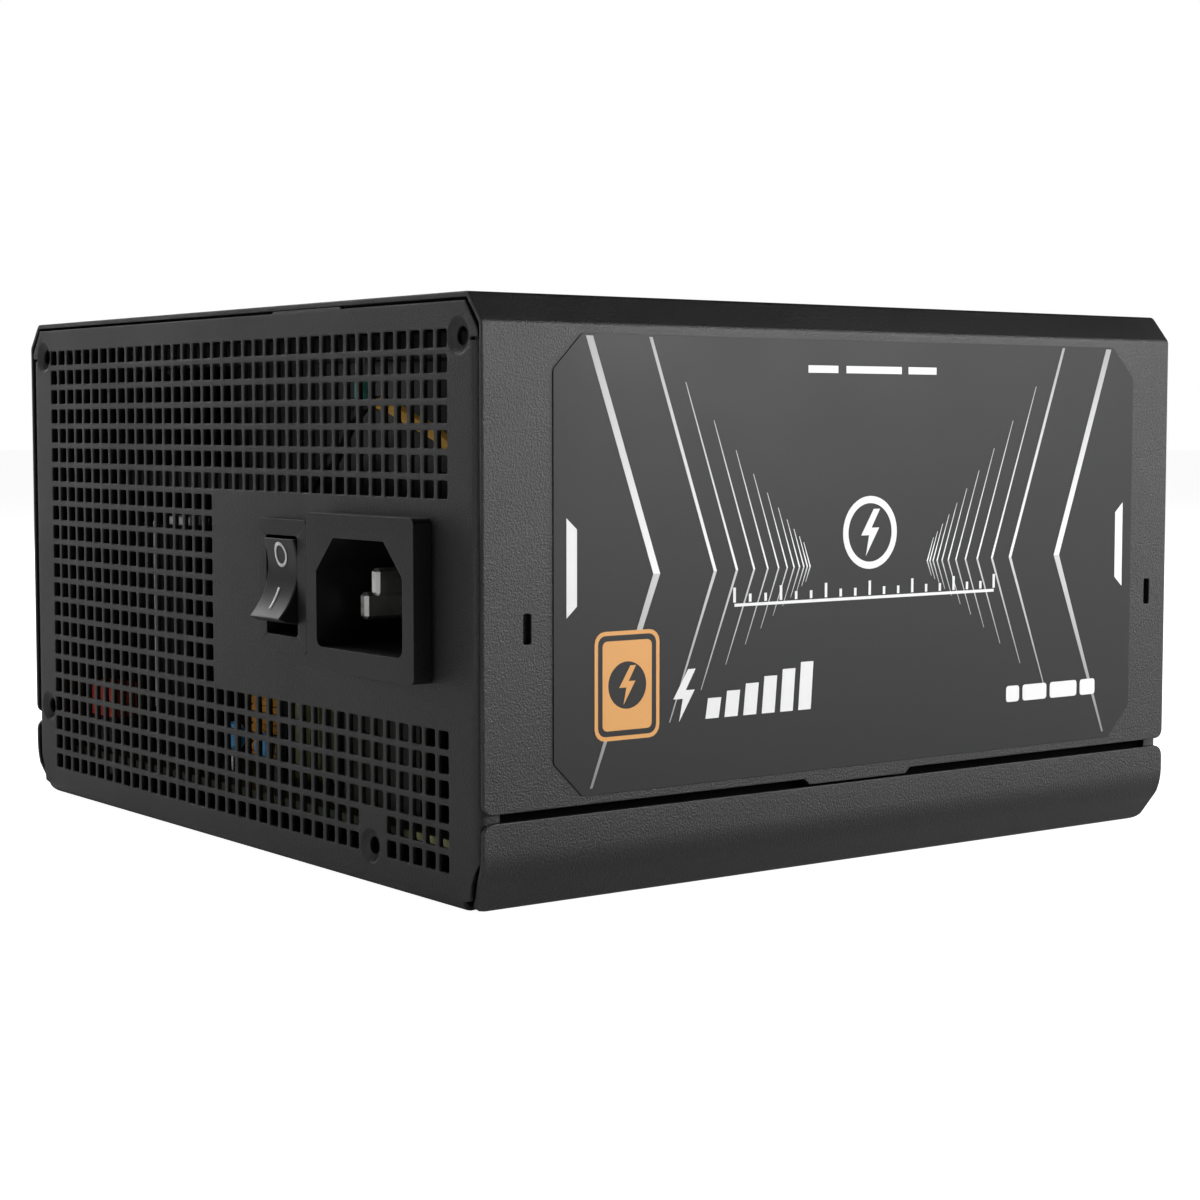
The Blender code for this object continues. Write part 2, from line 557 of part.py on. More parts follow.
def build_fan_core():
    """Bearing sleeve and wound stator, fixed on the hub plate and its bearing tube."""
    turned("fan_bearing", ring_profile(SHAFT_RADIUS + GAP, 3.9 * MM, 59.2 * MM, 72.5 * MM), BRASS, 12)
    stator = turned("fan_stator", ring_profile(5.3 * MM, 8.0 * MM, 61.5 * MM, 71.5 * MM), ENAMEL, 16)
    for turn in range(2):
        bm = bmesh.new()
        for side in (-1, 1):
            low, high = sorted((side * 7 * MM, side * 15 * MM))
            put_box(bm, (low, -4 * MM, 62 * MM), (high, 4 * MM, 71 * MM))
        arms = new_object("stator_arms", bm)
        arms.rotation_euler.z = turn * math.pi / 2
        combine(stator, arms, "UNION")
    rim = turned("stator_rim", ring_profile(14.2 * MM, 16.4 * MM, 63 * MM, 70 * MM), segments=16)
    gaps = bmesh.new()
    put_box(gaps, (-20 * MM, -1.2 * MM, 60 * MM), (20 * MM, 1.2 * MM, 75 * MM))
    for turn in range(2):
        slot = new_object("stator_slot", gaps.copy())
        slot.rotation_euler.z = math.pi / 4 + turn * math.pi / 2
        combine(rim, slot)
    gaps.free()
    combine(stator, rim, "UNION")


# ---------------------------------------------------------------- mains inlet and switch

def inlet_mouth():
    x, z = INLET
    half, tall = INLET_MOUTH[0] / 2, INLET_MOUTH[1] / 2
    cut = INLET_CORNER
    return [(x - half, z - tall), (x + half, z - tall), (x + half, z + tall - cut),
            (x + half - cut, z + tall), (x - half + cut, z + tall), (x - half, z + tall - cut)]


def build_inlet():
    x, z = INLET
    width, height = INLET_FLANGE
    inlet = box("ac_inlet", (x - width / 2, -HALF_DEPTH - INLET_PROUD, z - height / 2),
                (x + width / 2, -HALF_DEPTH - GAP, z + height / 2), PLASTIC)
    width, height = INLET_BODY
    combine(inlet, box("inlet_body", (x - width / 2, -HALF_DEPTH - MM, z - height / 2),
                       (x + width / 2, INLET_BACK, z + height / 2)), "UNION")
    combine(inlet, prism("cut_mouth", inlet_mouth(), "Y", -HALF_DEPTH - 5 * MM, INLET_FLOOR))
    slots = bmesh.new()
    pin_x, pin_z = PIN_SIZE
    for offset, height, _ in PINS.values():
        put_box(slots, (x + offset - pin_x / 2 - GAP, INLET_FLOOR - MM, height - pin_z / 2 - GAP),
                (x + offset + pin_x / 2 + GAP, INLET_BACK + MM, height + pin_z / 2 + GAP))
    combine(inlet, new_object("cut_pin_slots", slots))
    for name, (offset, height, tip) in PINS.items():
        bm = bmesh.new()
        put_box(bm, (x + offset - pin_x / 2, tip, height - pin_z / 2),
                (x + offset + pin_x / 2, PIN_TAIL, height + pin_z / 2))
        pin = new_object(f"inlet_pin_{name}", bm, BRASS)
        bevel = pin.modifiers.new("edges", "BEVEL")
        bevel.width = 0.5 * MM
        bevel.segments = 1


def rocker_outline():
    """Rocker seen from its side, as (y, z) from the pivot: a hollow face between two tips."""
    tip = ROCKER_RADIUS * math.sin(math.pi / 4)
    dip = 1.9 * MM
    face = []
    for step in range(9):
        z = tip * (step / 4 - 1)
        face.append((-tip + dip * (1 - (z / tip) ** 2), z))
    return face + [(1.5 * MM, tip), (4.0 * MM, 2.5 * MM), (4.0 * MM, -2.5 * MM), (1.5 * MM, -tip)]


def build_switch():
    x, z = SWITCH
    width, height = SWITCH_BEZEL
    housing = box("switch_housing", (x - width / 2, -HALF_DEPTH - SWITCH_PROUD, z - height / 2),
                  (x + width / 2, -HALF_DEPTH - GAP, z + height / 2), PLASTIC)
    width, height = SWITCH_BODY
    combine(housing, box("switch_body", (x - width / 2, -HALF_DEPTH - 0.5 * MM, z - height / 2),
                         (x + width / 2, SWITCH_BACK, z + height / 2)), "UNION")
    width, height = SWITCH_MOUTH
    cuts = bmesh.new()
    put_box(cuts, (x - width / 2, -HALF_DEPTH - 5 * MM, z - height / 2),
            (x + width / 2, SWITCH_FLOOR, z + height / 2))
    combine(housing, new_object("cut_switch_mouth", cuts))
    pivot_y, pivot_z = ROCKER_PIVOT
    holes = bmesh.new()
    put_cylinder(holes, (x, pivot_y, pivot_z), 1.5 * MM, 16 * MM, "X", 12)
    terminal, half_width, gap = 3.3 * MM, 2.4 * MM, 0.3 * MM
    for number, side in enumerate((-1, 1), 1):
        middle = x + side * terminal
        put_box(holes, (middle - 0.4 * MM - gap, SWITCH_FLOOR - MM, z - half_width - gap - 0.1 * MM),
                (middle + 0.4 * MM + gap, SWITCH_BACK + MM, z + half_width + gap + 0.1 * MM))
        box(f"switch_terminal_{number}", (middle - 0.4 * MM, -58.5 * MM, z - half_width),
            (middle + 0.4 * MM, -48.0 * MM, z + half_width), BRASS)
    combine(housing, new_object("cut_switch_holes", holes))

    rocker = prism("switch_rocker", rocker_outline(), "X", -ROCKER_WIDTH / 2, ROCKER_WIDTH / 2, PLASTIC)
    rocker.location = (x, pivot_y, pivot_z)
    rocker.rotation_euler.x = -ROCKER_SWING / 2
    pin = cylinder("rocker_pin", (0, 0, 0), 1.2 * MM, 11.2 * MM, axis="X", segments=12)
    pin.parent = rocker
    combine(rocker, pin, "UNION")


# ---------------------------------------------------------------- boards and what stands on them

def build_boards():
    board = box("main_board", (-BOARD_HALF_WIDTH, BOARD_Y[0], BOARD_FLOOR),
                (BOARD_HALF_WIDTH, BOARD_Y[1], BOARD_FLOOR + BOARD), LAMINATE)
    film = box("insulating_sheet", (-67.4 * MM, -66 * MM, SHEET + GAP),
               (67.4 * MM, 60 * MM, SHEET + GAP + 0.4 * MM), FILM)
    for target, radius in ((board, 1.8 * MM), (film, 3.8 * MM)):
        holes = bmesh.new()
        for x, y in BOARD_SCREWS:
            put_cylinder(holes, (x, y, BOARD_FLOOR / 2), radius, 14 * MM, segments=12)
        combine(target, new_object("cut_board_holes", holes))
    box("connector_board", (-64 * MM, SOCKET_BACK - GAP - BOARD, ON_BOARD),
        (64 * MM, SOCKET_BACK - GAP, 55 * MM), LAMINATE)


def socket_width(pins, pitch):
    return (pins - 1) * pitch + (5.4 * MM if pitch > 4 * MM else 3.9 * MM)


def build_sockets():
    for name, pins, pitch, height, x, z in SOCKETS:
        half = socket_width(pins, pitch) / 2
        tall = height / 2
        shroud = box(name, (x - half, SOCKET_BACK, z - tall), (x + half, HALF_DEPTH, z + tall), PLASTIC)
        half -= SOCKET_WALL
        tall -= SOCKET_WALL
        combine(shroud, box("cut_socket", (x - half, HALF_DEPTH - SOCKET_RECESS, z - tall),
                            (x + half, HALF_DEPTH + MM, z + tall)))


def heatsink(name, x, y_low, y_high, top, towards):
    """A plate standing on the board along Y, with three level fins near its top on one side."""
    plate, reach, fin, pitch = 3 * MM, 11 * MM, 1.6 * MM, 7 * MM
    root, tip = x + towards * plate, x + towards * (plate + reach)
    outline = [(x, top), (x, ON_BOARD), (root, ON_BOARD)]
    for level in (2, 1, 0):
        high = top - level * pitch
        outline += [(root, high - fin), (tip, high - fin), (tip, high)]
        if level:
            outline.append((root, high))
    prism(name, outline, "Y", y_low, y_high, ALUMINIUM)


def build_heatsinks():
    heatsink("heatsink_primary", -27 * MM, -34 * MM, 30 * MM, 50 * MM, 1)
    heatsink("heatsink_secondary", 30 * MM, -30 * MM, 36 * MM, 48 * MM, -1)
    bridge = [(-58 * MM, ON_BOARD), (-55 * MM, ON_BOARD), (-55 * MM, 47 * MM), (-46 * MM, 47 * MM),
              (-46 * MM, 50 * MM), (-58 * MM, 50 * MM)]
    prism("heatsink_bridge", bridge, "X", -56 * MM, -36 * MM, ALUMINIUM)
    box("bridge_rectifier", (-55 * MM, -55 * MM + GAP, 13 * MM), (-37 * MM, -51 * MM, 33 * MM), SLEEVE)


def toroid(name, x, y, radius, bore, low, high, look):
    """A wound ring standing flat on the board, with a rounded section."""
    edge = min(radius - bore, high - low) * 0.3
    obj = turned(name, [(radius, high - edge), (radius, low + edge), (radius - edge, low),
                        (bore + edge, low), (bore, low + edge), (bore, high - edge),
                        (bore + edge, high), (radius - edge, high)], look, 16)
    obj.location = (x, y, 0)


def can(name, x, y, radius, height, look):
    """An electrolytic capacitor: a rolled groove near the foot and a rounded top edge."""
    low, top = ON_BOARD, ON_BOARD + height
    obj = turned(name, [(0, top), (radius * 0.85, top), (radius, top - radius * 0.12), (radius, low + 3 * MM),
                        (radius * 0.93, low + 2.2 * MM), (radius, low + 1.4 * MM), (radius, low), (0, low)],
                 look, 16)
    obj.location = (x, y, 0)


def build_components():
    toroid("pfc_choke", -50 * MM, -27 * MM, 15 * MM, 6 * MM, ON_BOARD, 30 * MM, ENAMEL)
    toroid("line_choke", 2.5 * MM, -50 * MM, 8.5 * MM, 3 * MM, ON_BOARD, 24.5 * MM, WINDING)
    box("common_mode_choke", (-20 * MM, -56 * MM, ON_BOARD), (-9.5 * MM, -43 * MM, 24.5 * MM), TAPE)
    box("x_capacitor", (24 * MM, -62 * MM, ON_BOARD), (46 * MM, -53 * MM, 25 * MM), BOX_FILM)
    can("bulk_capacitor", -50 * MM, 12 * MM, 15 * MM, 44 * MM, SLEEVE)
    for number, y in enumerate((10 * MM, 24 * MM), 1):
        can(f"output_capacitor_{number}", 47 * MM, y, 5 * MM, 25 * MM, SLEEVE)
    coil = box("main_transformer", (-11 * MM, -12 * MM, ON_BOARD), (13 * MM, 24 * MM, 42 * MM), TAPE)
    core = box("transformer_core", (-7 * MM, -16 * MM, ON_BOARD + 5 * MM), (9 * MM, 28 * MM, 37 * MM))
    combine(coil, core, "UNION")


def spread(points, count):
    """Points at even steps of a smooth curve through the given ones."""
    points = [Vector(point) for point in points]
    ends = [2 * points[0] - points[1]] + points + [2 * points[-1] - points[-2]]
    curve = []
    for before, start, end, after in zip(ends, ends[1:], ends[2:], ends[3:]):
        bend = 2 * before - 5 * start + 4 * end - after
        twist = 3 * start - before - 3 * end + after
        for step in range(12):
            t = step / 12
            curve.append(start + 0.5 * ((end - before) * t + bend * t ** 2 + twist * t ** 3))
    curve.append(points[-1])
    lengths = [0.0]
    for first, second in zip(curve, curve[1:]):
        lengths.append(lengths[-1] + (second - first).length)
    result = []
    index = 0
    for step in range(count):
        target = lengths[-1] * step / (count - 1)
        while index < len(lengths) - 2 and lengths[index + 1] < target:
            index += 1
        share = (target - lengths[index]) / (lengths[index + 1] - lengths[index])
        result.append(curve[index].lerp(curve[index + 1], min(share, 1.0)))
    return result


# colour, points along the lead, and its route in millimetres
LEADS = {
    "lead_line": ("brown", 12, [(40, -45.6, 41), (39, -42, 41), (35, -40, 42), (29, -40.5, 43.5),
                                (25.2, -43, 43.8), (24.1, -47.6, 43.2)]),
    "lead_switched": ("brown", 16, [(17.5, -47.6, 43.2), (17.2, -43.5, 42), (16.5, -41.5, 34),
                                    (17, -42, 20), (17.5, -43, 8.9)]),
    "lead_neutral": ("blue", 16, [(54, -45.6, 41), (54, -42.4, 40), (53, -41, 33), (52, -41, 22),
                                  (52, -42, 8.9)]),
    "lead_earth": ("green", 20, [(47, -45.6, 45), (47.4, -42, 46), (51, -39.8, 48.5), (58, -41, 48.5),
                                 (64, -46, 42), (65.4, -53, 26), (64.5, -54.5, 8.9)]),
    "lead_fan": ("yellow", 28, [(59, -62.2, 62), (53, -62.6, 66), (45, -62.8, 68.6), (37, -62.6, 71),
                                (29, -62.4, 69.6), (22, -62.6, 62), (12, -63, 55), (9.5, -63, 42),
                                (8, -63.4, 22), (5, -63, 8.9)]),
}


def build_leads():
    for name, (colour, count, route) in LEADS.items():
        curve = bpy.data.curves.new(name, "CURVE")
        curve.dimensions = "3D"
        curve.bevel_depth = LEAD_RADIUS
        curve.bevel_resolution = 2
        curve.use_fill_caps = True
        spline = curve.splines.new("POLY")
        points = [point * MM for point in spread(route, count)]
        spline.points.add(len(points) - 1)
        for target, point in zip(spline.points, points):
            target.co = (*point, 1.0)
        curve.materials.append(material(f"{name}_sleeve", LEAD_COLOURS[colour], 0.45))
        PARTS.objects.link(bpy.data.objects.new(name, curve))


build_base()
build_cover()
build_labels()
build_screws()
build_guard()
build_fan_frame()
build_rotor()
build_fan_core()
build_inlet()
build_switch()
build_boards()
build_sockets()
build_heatsinks()
build_components()
build_leads()
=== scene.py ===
"""Looks of the power supply unit: folded sheet steel, printed film, fan, fittings and the parts inside.

The row frame is in metres, +Z up, with the mains inlet and the switch facing -Y. Pieces are drawn here in
millimetres in that frame, and piece() scales them. Flat work is drawn as (across, up, out).
"""

import json
import math

import bmesh
import bpy
from mathutils import Matrix, Vector


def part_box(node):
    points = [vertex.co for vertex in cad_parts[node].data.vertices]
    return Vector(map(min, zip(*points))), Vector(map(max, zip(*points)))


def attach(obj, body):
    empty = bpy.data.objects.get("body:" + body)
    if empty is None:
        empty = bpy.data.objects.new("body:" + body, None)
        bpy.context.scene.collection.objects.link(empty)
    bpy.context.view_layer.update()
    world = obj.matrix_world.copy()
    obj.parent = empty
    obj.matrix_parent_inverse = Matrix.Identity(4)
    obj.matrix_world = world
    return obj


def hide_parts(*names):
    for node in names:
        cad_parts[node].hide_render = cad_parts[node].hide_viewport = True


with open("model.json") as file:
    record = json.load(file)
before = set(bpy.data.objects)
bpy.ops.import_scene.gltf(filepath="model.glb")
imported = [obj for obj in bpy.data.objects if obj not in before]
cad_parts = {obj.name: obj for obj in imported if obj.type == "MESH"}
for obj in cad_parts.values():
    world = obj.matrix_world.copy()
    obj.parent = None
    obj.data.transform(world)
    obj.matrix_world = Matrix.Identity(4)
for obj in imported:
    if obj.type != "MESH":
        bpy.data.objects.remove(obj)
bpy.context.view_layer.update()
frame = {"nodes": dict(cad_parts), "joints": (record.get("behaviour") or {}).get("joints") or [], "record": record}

MM = 0.001


def corners_of(node):
    """Lowest corner, highest corner and middle of a CAD node, in millimetres."""
    low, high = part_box(node)
    return low / MM, high / MM, (low / MM + high / MM) / 2


HALF_WIDTH, HALF_DEPTH, HEIGHT = corners_of("top_cover")[1]
SHEET = 0.8
TOP_CHAMFER = (3.5, 4.2)
BOTTOM_CHAMFER = (4.0, 6.3)
SKIRT_TOP = 13.0
SEAM = 1.2
COVER_FOOT = SKIRT_TOP + SEAM
PANEL_HALF = HALF_WIDTH - SHEET - 0.3
PANEL_TOP = HEIGHT - SHEET - 0.4
PANEL_FOOT = 68.6
BACK_GAP = 0.05                      # between the rear panel and the flanges that rest on it

# Fold radii, to the outer face
SKIRT_FOLDS = (0.9, 9.0)
PANEL_FOLD = 2.0
FLANGE_FOLD = 1.4
COVER_FOLD = 1.2

# Grille of the rear panel
HOLE = 2.5
HOLE_CORNER = 0.35
HOLE_PITCH = 3.5
HOLE_COLUMNS = 38
HOLE_ROWS = 22
HOLE_LEFT = -64.75
HOLE_TOP = 79.75
PATCH_COLUMN = 18                    # the solid patch round the fittings starts here
PATCH_ROWS = range(7, 16)
SCREW_PLACE = ((31, 32), (20, 21))   # columns and rows left out round the fourth mounting hole
MOUNT_HOLES = ((-69.0, 80.0), (69.0, 80.0), (-69.0, 16.0), (45.0, 6.0))

FAN_EYE = 52.5                       # the fan's screws stand this far from its axis, both ways
FAN_BORE = 57.0                      # radius

SOCKETS = [name for name in frame["nodes"] if name.startswith("socket_")]

TO_REAR = Matrix(((1, 0, 0, 0), (0, 0, -1, 0), (0, 1, 0, 0), (0, 0, 0, 1)))
TO_FRONT = Matrix(((-1, 0, 0, 0), (0, 0, 1, 0), (0, 1, 0, 0), (0, 0, 0, 1)))
TO_RIGHT = Matrix(((0, 0, 1, 0), (1, 0, 0, 0), (0, 1, 0, 0), (0, 0, 0, 1)))
TO_LEFT = Matrix(((0, 0, -1, 0), (-1, 0, 0, 0), (0, 1, 0, 0), (0, 0, 0, 1)))


# ---- outlines

def rectangle(centre, width, height):
    x, z = centre
    return [(x - width / 2, z - height / 2), (x + width / 2, z - height / 2),
            (x + width / 2, z + height / 2), (x - width / 2, z + height / 2)]


def four(x, y):
    """The four places at plus and minus x and y."""
    return [(across, along) for across in (-x, x) for along in (-y, y)]


def arc(centre, radius, start, end, steps):
    """Points from one angle to another, in degrees."""
    angles = [math.radians(start + (end - start) * step / steps) for step in range(steps + 1)]
    return [(centre[0] + radius * math.cos(a), centre[1] + radius * math.sin(a)) for a in angles]


def circle(centre, radius, steps=24):
    return arc(centre, radius, 0, 360, steps)[:-1]


def rounded(corners, radius, steps=3):
    """An outline with an arc at each corner; radius is one number or one for each corner."""
    points = []
    for index, corner in enumerate(corners):
        size = radius[index] if isinstance(radius, (list, tuple)) else radius
        here = Vector(corner)
        arriving = (here - Vector(corners[index - 1])).normalized()
        leaving = (Vector(corners[(index + 1) % len(corners)]) - here).normalized()
        turn = math.atan2(arriving.cross(leaving), arriving.dot(leaving))
        start = here - arriving * abs(size * math.tan(turn / 2))
        inward = Vector((-arriving.y, arriving.x)) * math.copysign(size, turn)
        for step in range(steps + 1):
            arm = -inward
            arm.rotate(Matrix.Rotation(turn * step / steps, 2))
            points.append(tuple(start + inward + arm))
    return points


def pad(centre, width, height, radius, steps=3):
    """A rectangle with round corners."""
    return rounded(rectangle(centre, width, height), radius, steps)


class Fold:
    """Profile of a folded sheet: straight runs along corner points, with a round bend at each inner one."""

    def __init__(self, corners, radii):
        corners = [Vector(corner) for corner in corners]
        self.spans = []
        distance, point = 0.0, corners[0]
        for before, here, after, radius in zip(corners, corners[1:], corners[2:], radii):
            arriving, leaving = (here - before).normalized(), (after - here).normalized()
            turn = math.atan2(arriving.cross(leaving), arriving.dot(leaving))
            heading = math.atan2(arriving.y, arriving.x)
            cut = abs(radius * math.tan(turn / 2))
            bend = here - arriving * cut
            run = (bend - point).length
            self.spans.append((distance, run, point, heading, 0.0))
            self.spans.append((distance + run, abs(turn) * radius, bend, heading, turn))
            distance += run + abs(turn) * radius
            point = here + leaving * cut
        run = (corners[-1] - point).length
        self.spans.append((distance, run, point, math.atan2(leaving.y, leaving.x), 0.0))
        self.length = distance + run

    def at(self, distance):
        """Place and heading after a distance along the sheet."""
        start, length, point, heading, turn = [s for s in self.spans if s[0] <= distance + 1e-9][-1]
        along = distance - start
        if not turn:
            return point + along * Vector((math.cos(heading), math.sin(heading))), heading
        radius = length / turn
        swept = heading + along / radius
        centre = point + radius * Vector((-math.sin(heading), math.cos(heading)))
        return centre + radius * Vector((math.sin(swept), -math.cos(swept))), swept

    def creases(self, steps=4):
        """Distances at which the sheet is divided, so that each bend is round."""
        return [start + length * step / steps for start, length, _, _, turn in self.spans if turn
                for step in range(steps + 1)]


# ---- meshes

def placed(name, data):
    """A new object in the scene."""
    obj = bpy.data.objects.new(name, data)
    bpy.context.scene.collection.objects.link(obj)
    return obj


def turned(degrees, axis="Z"):
    return Matrix.Rotation(math.radians(degrees), 4, axis)


def shifted(x=0, y=0, z=0):
    return Matrix.Translation((x, y, z))


def moved(bm, *matrices):
    for matrix in matrices:
        bm.transform(matrix)
    return bm


def faced_out(bm):
    bmesh.ops.recalc_face_normals(bm, faces=bm.faces)
    return bm


def face_up(bm):
    """Turns a sheet's face upwards."""
    if max(bm.faces, key=lambda face: face.calc_area()).normal.z < 0:
        bmesh.ops.reverse_faces(bm, faces=bm.faces)
    return bm


def curve_mesh(loops, thickness=0.0, edge=0.0):
    """Loops filled as a flat sheet, or as a plate with rounded edges if it has a thickness."""
    curve = bpy.data.curves.new("flat", "CURVE")
    curve.dimensions = "2D"
    curve.fill_mode = "BOTH"
    curve.extrude = max(thickness / 2 - edge, 0.0)
    curve.bevel_depth = edge
    curve.bevel_resolution = 1
    curve.offset = -edge
    for loop in loops:
        spline = curve.splines.new("POLY")
        spline.points.add(len(loop) - 1)
        for target, point in zip(spline.points, loop):
            target.co = (*point, 0.0, 1.0)
        spline.use_cyclic_u = True
    obj = placed("flat", curve)
    bpy.context.view_layer.update()
    mesh = bpy.data.meshes.new_from_object(obj.evaluated_get(bpy.context.evaluated_depsgraph_get()))
    bpy.data.objects.remove(obj)
    bpy.data.curves.remove(curve)
    bm = bmesh.new()
    bm.from_mesh(mesh)
    bpy.data.meshes.remove(mesh)
    bmesh.ops.remove_doubles(bm, verts=bm.verts, dist=0.0005)
    return bm


def add_ring(bm, points):
    return [bm.verts.new(point) for point in points]


def add_walls(bm, rings):
    for first, second in zip(rings, rings[1:]):
        for index in range(len(first)):
            bm.faces.new((first[index - 1], first[index], second[index], second[index - 1]))


def closed(bm):
    bmesh.ops.remove_doubles(bm, verts=bm.verts, dist=0.004)
    return faced_out(bm)


def joined(first, *others):
    """One bmesh with the geometry of them all."""
    for other in others:
        mesh = bpy.data.meshes.new("joined")
        other.to_mesh(mesh)
        other.free()
        first.from_mesh(mesh)
        bpy.data.meshes.remove(mesh)
    return first


def block(sections, pockets=()):
    """A body of (outline, level) sections from its face backwards, with (outline, floor) pockets."""
    outline, face = sections[0]
    bm = moved(curve_mesh([outline] + [pocket for pocket, _ in pockets]), shifted(z=face))
    for steps in [sections] + [[(shape, face), (shape, floor)] for shape, floor in pockets]:
        rings = [add_ring(bm, [(a, b, level) for a, b in shape]) for shape, level in steps]
        add_walls(bm, rings)
        bm.faces.new(rings[-1])
    return closed(bm)


def lathe(profile, steps=48):
    """A (radius, z) profile from the axis and back to it, or closed on itself, turned about Z."""
    bm = bmesh.new()
    on_axis = [radius < 1e-6 for radius, _ in profile]
    rings = []
    for (radius, z), single in zip(profile, on_axis):
        points = [(0, 0, z)] if single else [(x, y, z) for x, y in circle((0, 0), radius, steps)]
        rings.append(add_ring(bm, points))
    pairs = list(zip(rings, rings[1:]))
    if not any(on_axis):
        pairs.append((rings[-1], rings[0]))
    for first, second in pairs:
        for index in range(steps):
            corners = []
            for ring, places in ((first, (index - 1, index)), (second, (index, index - 1))):
                corners += [ring[place] for place in places] if len(ring) > 1 else ring[:1]
            if len(corners) > 2:
                bm.faces.new(corners)
    return faced_out(bm)


def tube(points, radius, cyclic=False, sides=8):
    """A round wire along points."""
    bm = bmesh.new()
    points = [Vector(point) for point in points]
    count = len(points)
    rings = []
    across = None
    for index, point in enumerate(points):
        before = points[index - 1] if index or cyclic else point
        after = points[(index + 1) % count] if index < count - 1 or cyclic else point
        along = (after - before).normalized()
        if across is None:
            across = along.orthogonal().normalized()
        across = (across - along * across.dot(along)).normalized()
        over = along.cross(across)
        rings.append(add_ring(bm, [point + radius * (math.cos(a) * across + math.sin(a) * over)
                                   for a in (math.tau * side / sides for side in range(sides))]))
    add_walls(bm, rings + rings[:1] if cyclic else rings)
    if not cyclic:
        bm.faces.new(rings[0])
        bm.faces.new(rings[-1])
    return faced_out(bm)


def box_mesh(low, high):
    bm = bmesh.new()
    middle, size = (Vector(low) + Vector(high)) / 2, Vector(high) - Vector(low)
    bmesh.ops.create_cube(bm, size=1.0, matrix=shifted(*middle) @ Matrix.Diagonal((*size, 1)))
    return bm


def piece(name, bm, look, body="case", nodes=(), edge=0.0, angle=40.0, thickness=0.0, steps=2, slot=None):
    """A finished piece from a bmesh in millimetres: smooth, with rounded edges, riding on a body."""
    bm.transform(Matrix.Scale(MM, 4))
    mesh = bpy.data.meshes.new(name)
    bm.to_mesh(mesh)
    bm.free()
    mesh.materials.append(look)
    mesh.shade_smooth()
    obj = placed(name, mesh)
    if thickness:
        solid = obj.modifiers.new("sheet", "SOLIDIFY")
        solid.thickness = thickness * MM
        solid.offset = -1
        solid.use_even_offset = True
    if edge:
        bevel = obj.modifiers.new("edges", "BEVEL")
        bevel.width = edge * MM
        bevel.segments = steps
        bevel.limit_method = "ANGLE"
        bevel.angle_limit = math.radians(angle)
    else:
        mesh.set_sharp_from_angle(angle=math.radians(angle))
    normals = obj.modifiers.new("normals", "WEIGHTED_NORMAL")
    normals.keep_sharp = not edge
    normals.weight = 90
    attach(obj, body)
    slot = slot or SLOT_OF[look]
    if nodes:
        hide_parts(*nodes)
    return obj


# ---- materials

class Look:
    """A procedural material under construction, placed by the object's own coordinates."""

    def __init__(self, name, inputs):
        self.material = bpy.data.materials.new(name)
        self.material.use_nodes = True
        self.tree = self.material.node_tree
        self.shader = self.tree.nodes["Principled BSDF"]
        self.place = self.add("TexCoord", {}, "Object")
        self.put(self.shader, inputs)

    def put(self, node, inputs):
        """Sets a node's inputs, each to a number, a colour, a vector or another node's output."""
        for name, value in inputs.items():
            target = node.inputs[name]
            if isinstance(value, tuple):
                target.default_value = (*value, 1.0) if target.type == "RGBA" else value
            elif isinstance(value, (int, float)):
                target.default_value = value
            else:
                self.tree.links.new(value, target)

    def add(self, kind, inputs, output, **settings):
        node = self.tree.nodes.new(f"ShaderNode{kind}")
        for name, value in settings.items():
            setattr(node, name, value)
        self.put(node, inputs)
        return node.outputs[output]

    def noise(self, scale, detail=2.0, rough=0.5, stretch=None):
        place = self.place
        if stretch:
            place = self.add("Mapping", {"Vector": place, "Scale": stretch}, "Vector")
        inputs = {"Vector": place, "Scale": scale, "Detail": detail, "Roughness": rough}
        return self.add("TexNoise", inputs, "Fac")

    def axis(self, name):
        return self.add("SeparateXYZ", {"Vector": self.place}, name)

    def math(self, operation, first, second):
        return self.add("Math", {0: first, 1: second}, 0, operation=operation)

    def spread(self, source, low, high, start=0.3, end=0.7):
        """A value or a colour that goes from low to high as the source goes from start to end."""
        between = {"Value": source, "From Min": start, "From Max": end}
        if not isinstance(low, tuple):
            return self.add("MapRange", {**between, "To Min": low, "To Max": high}, "Result")
        share = self.add("MapRange", between, "Result")
        return self.add("Mix", {"Factor": share, "A": low, "B": high}, "Result", data_type="RGBA")

    def bump(self, height, distance):
        bumped = self.add("Bump", {"Height": height, "Distance": distance}, "Normal")
        self.put(self.shader, {"Normal": bumped})

    def done(self, colour, roughness):
        self.put(self.shader, {"Base Color": colour, "Roughness": roughness})
        return self.material


def scaled(colour, factor):
    return tuple(channel * factor for channel in colour)


def wrinkle_paint(name, tone, depth):
    """Powder coat: fine wrinkles, with painted shade in their hollows and painted highlight on their crests."""
    look = Look(name, {})
    wrinkle, grain = look.noise(3400, 3, 0.55), look.noise(9000, 2)
    height = look.math("ADD", look.math("MULTIPLY", wrinkle, 0.8), look.math("MULTIPLY", grain, 0.2))
    look.bump(height, depth)
    # colour follows the wrinkles' height: painted shade in the hollows, painted highlight on the crests
    hollow_shade_crest_highlight = look.spread(height, (tone * 0.7,) * 3, (tone * 1.4, tone * 1.4, tone * 1.43), 0.38, 0.66)
    return look.done(hollow_shade_crest_highlight, look.spread(look.noise(35, 3), 0.4, 0.48))


def moulded_plastic(name, tone, roughness=0.42, depth=0.00002):
    look = Look(name, {})
    look.bump(look.noise(2600, 2), depth)
    cloud = look.noise(90, 3)
    return look.done(look.spread(cloud, (tone * 0.85,) * 3, (tone * 1.15,) * 3),
                     look.spread(cloud, roughness - 0.04, roughness + 0.05))


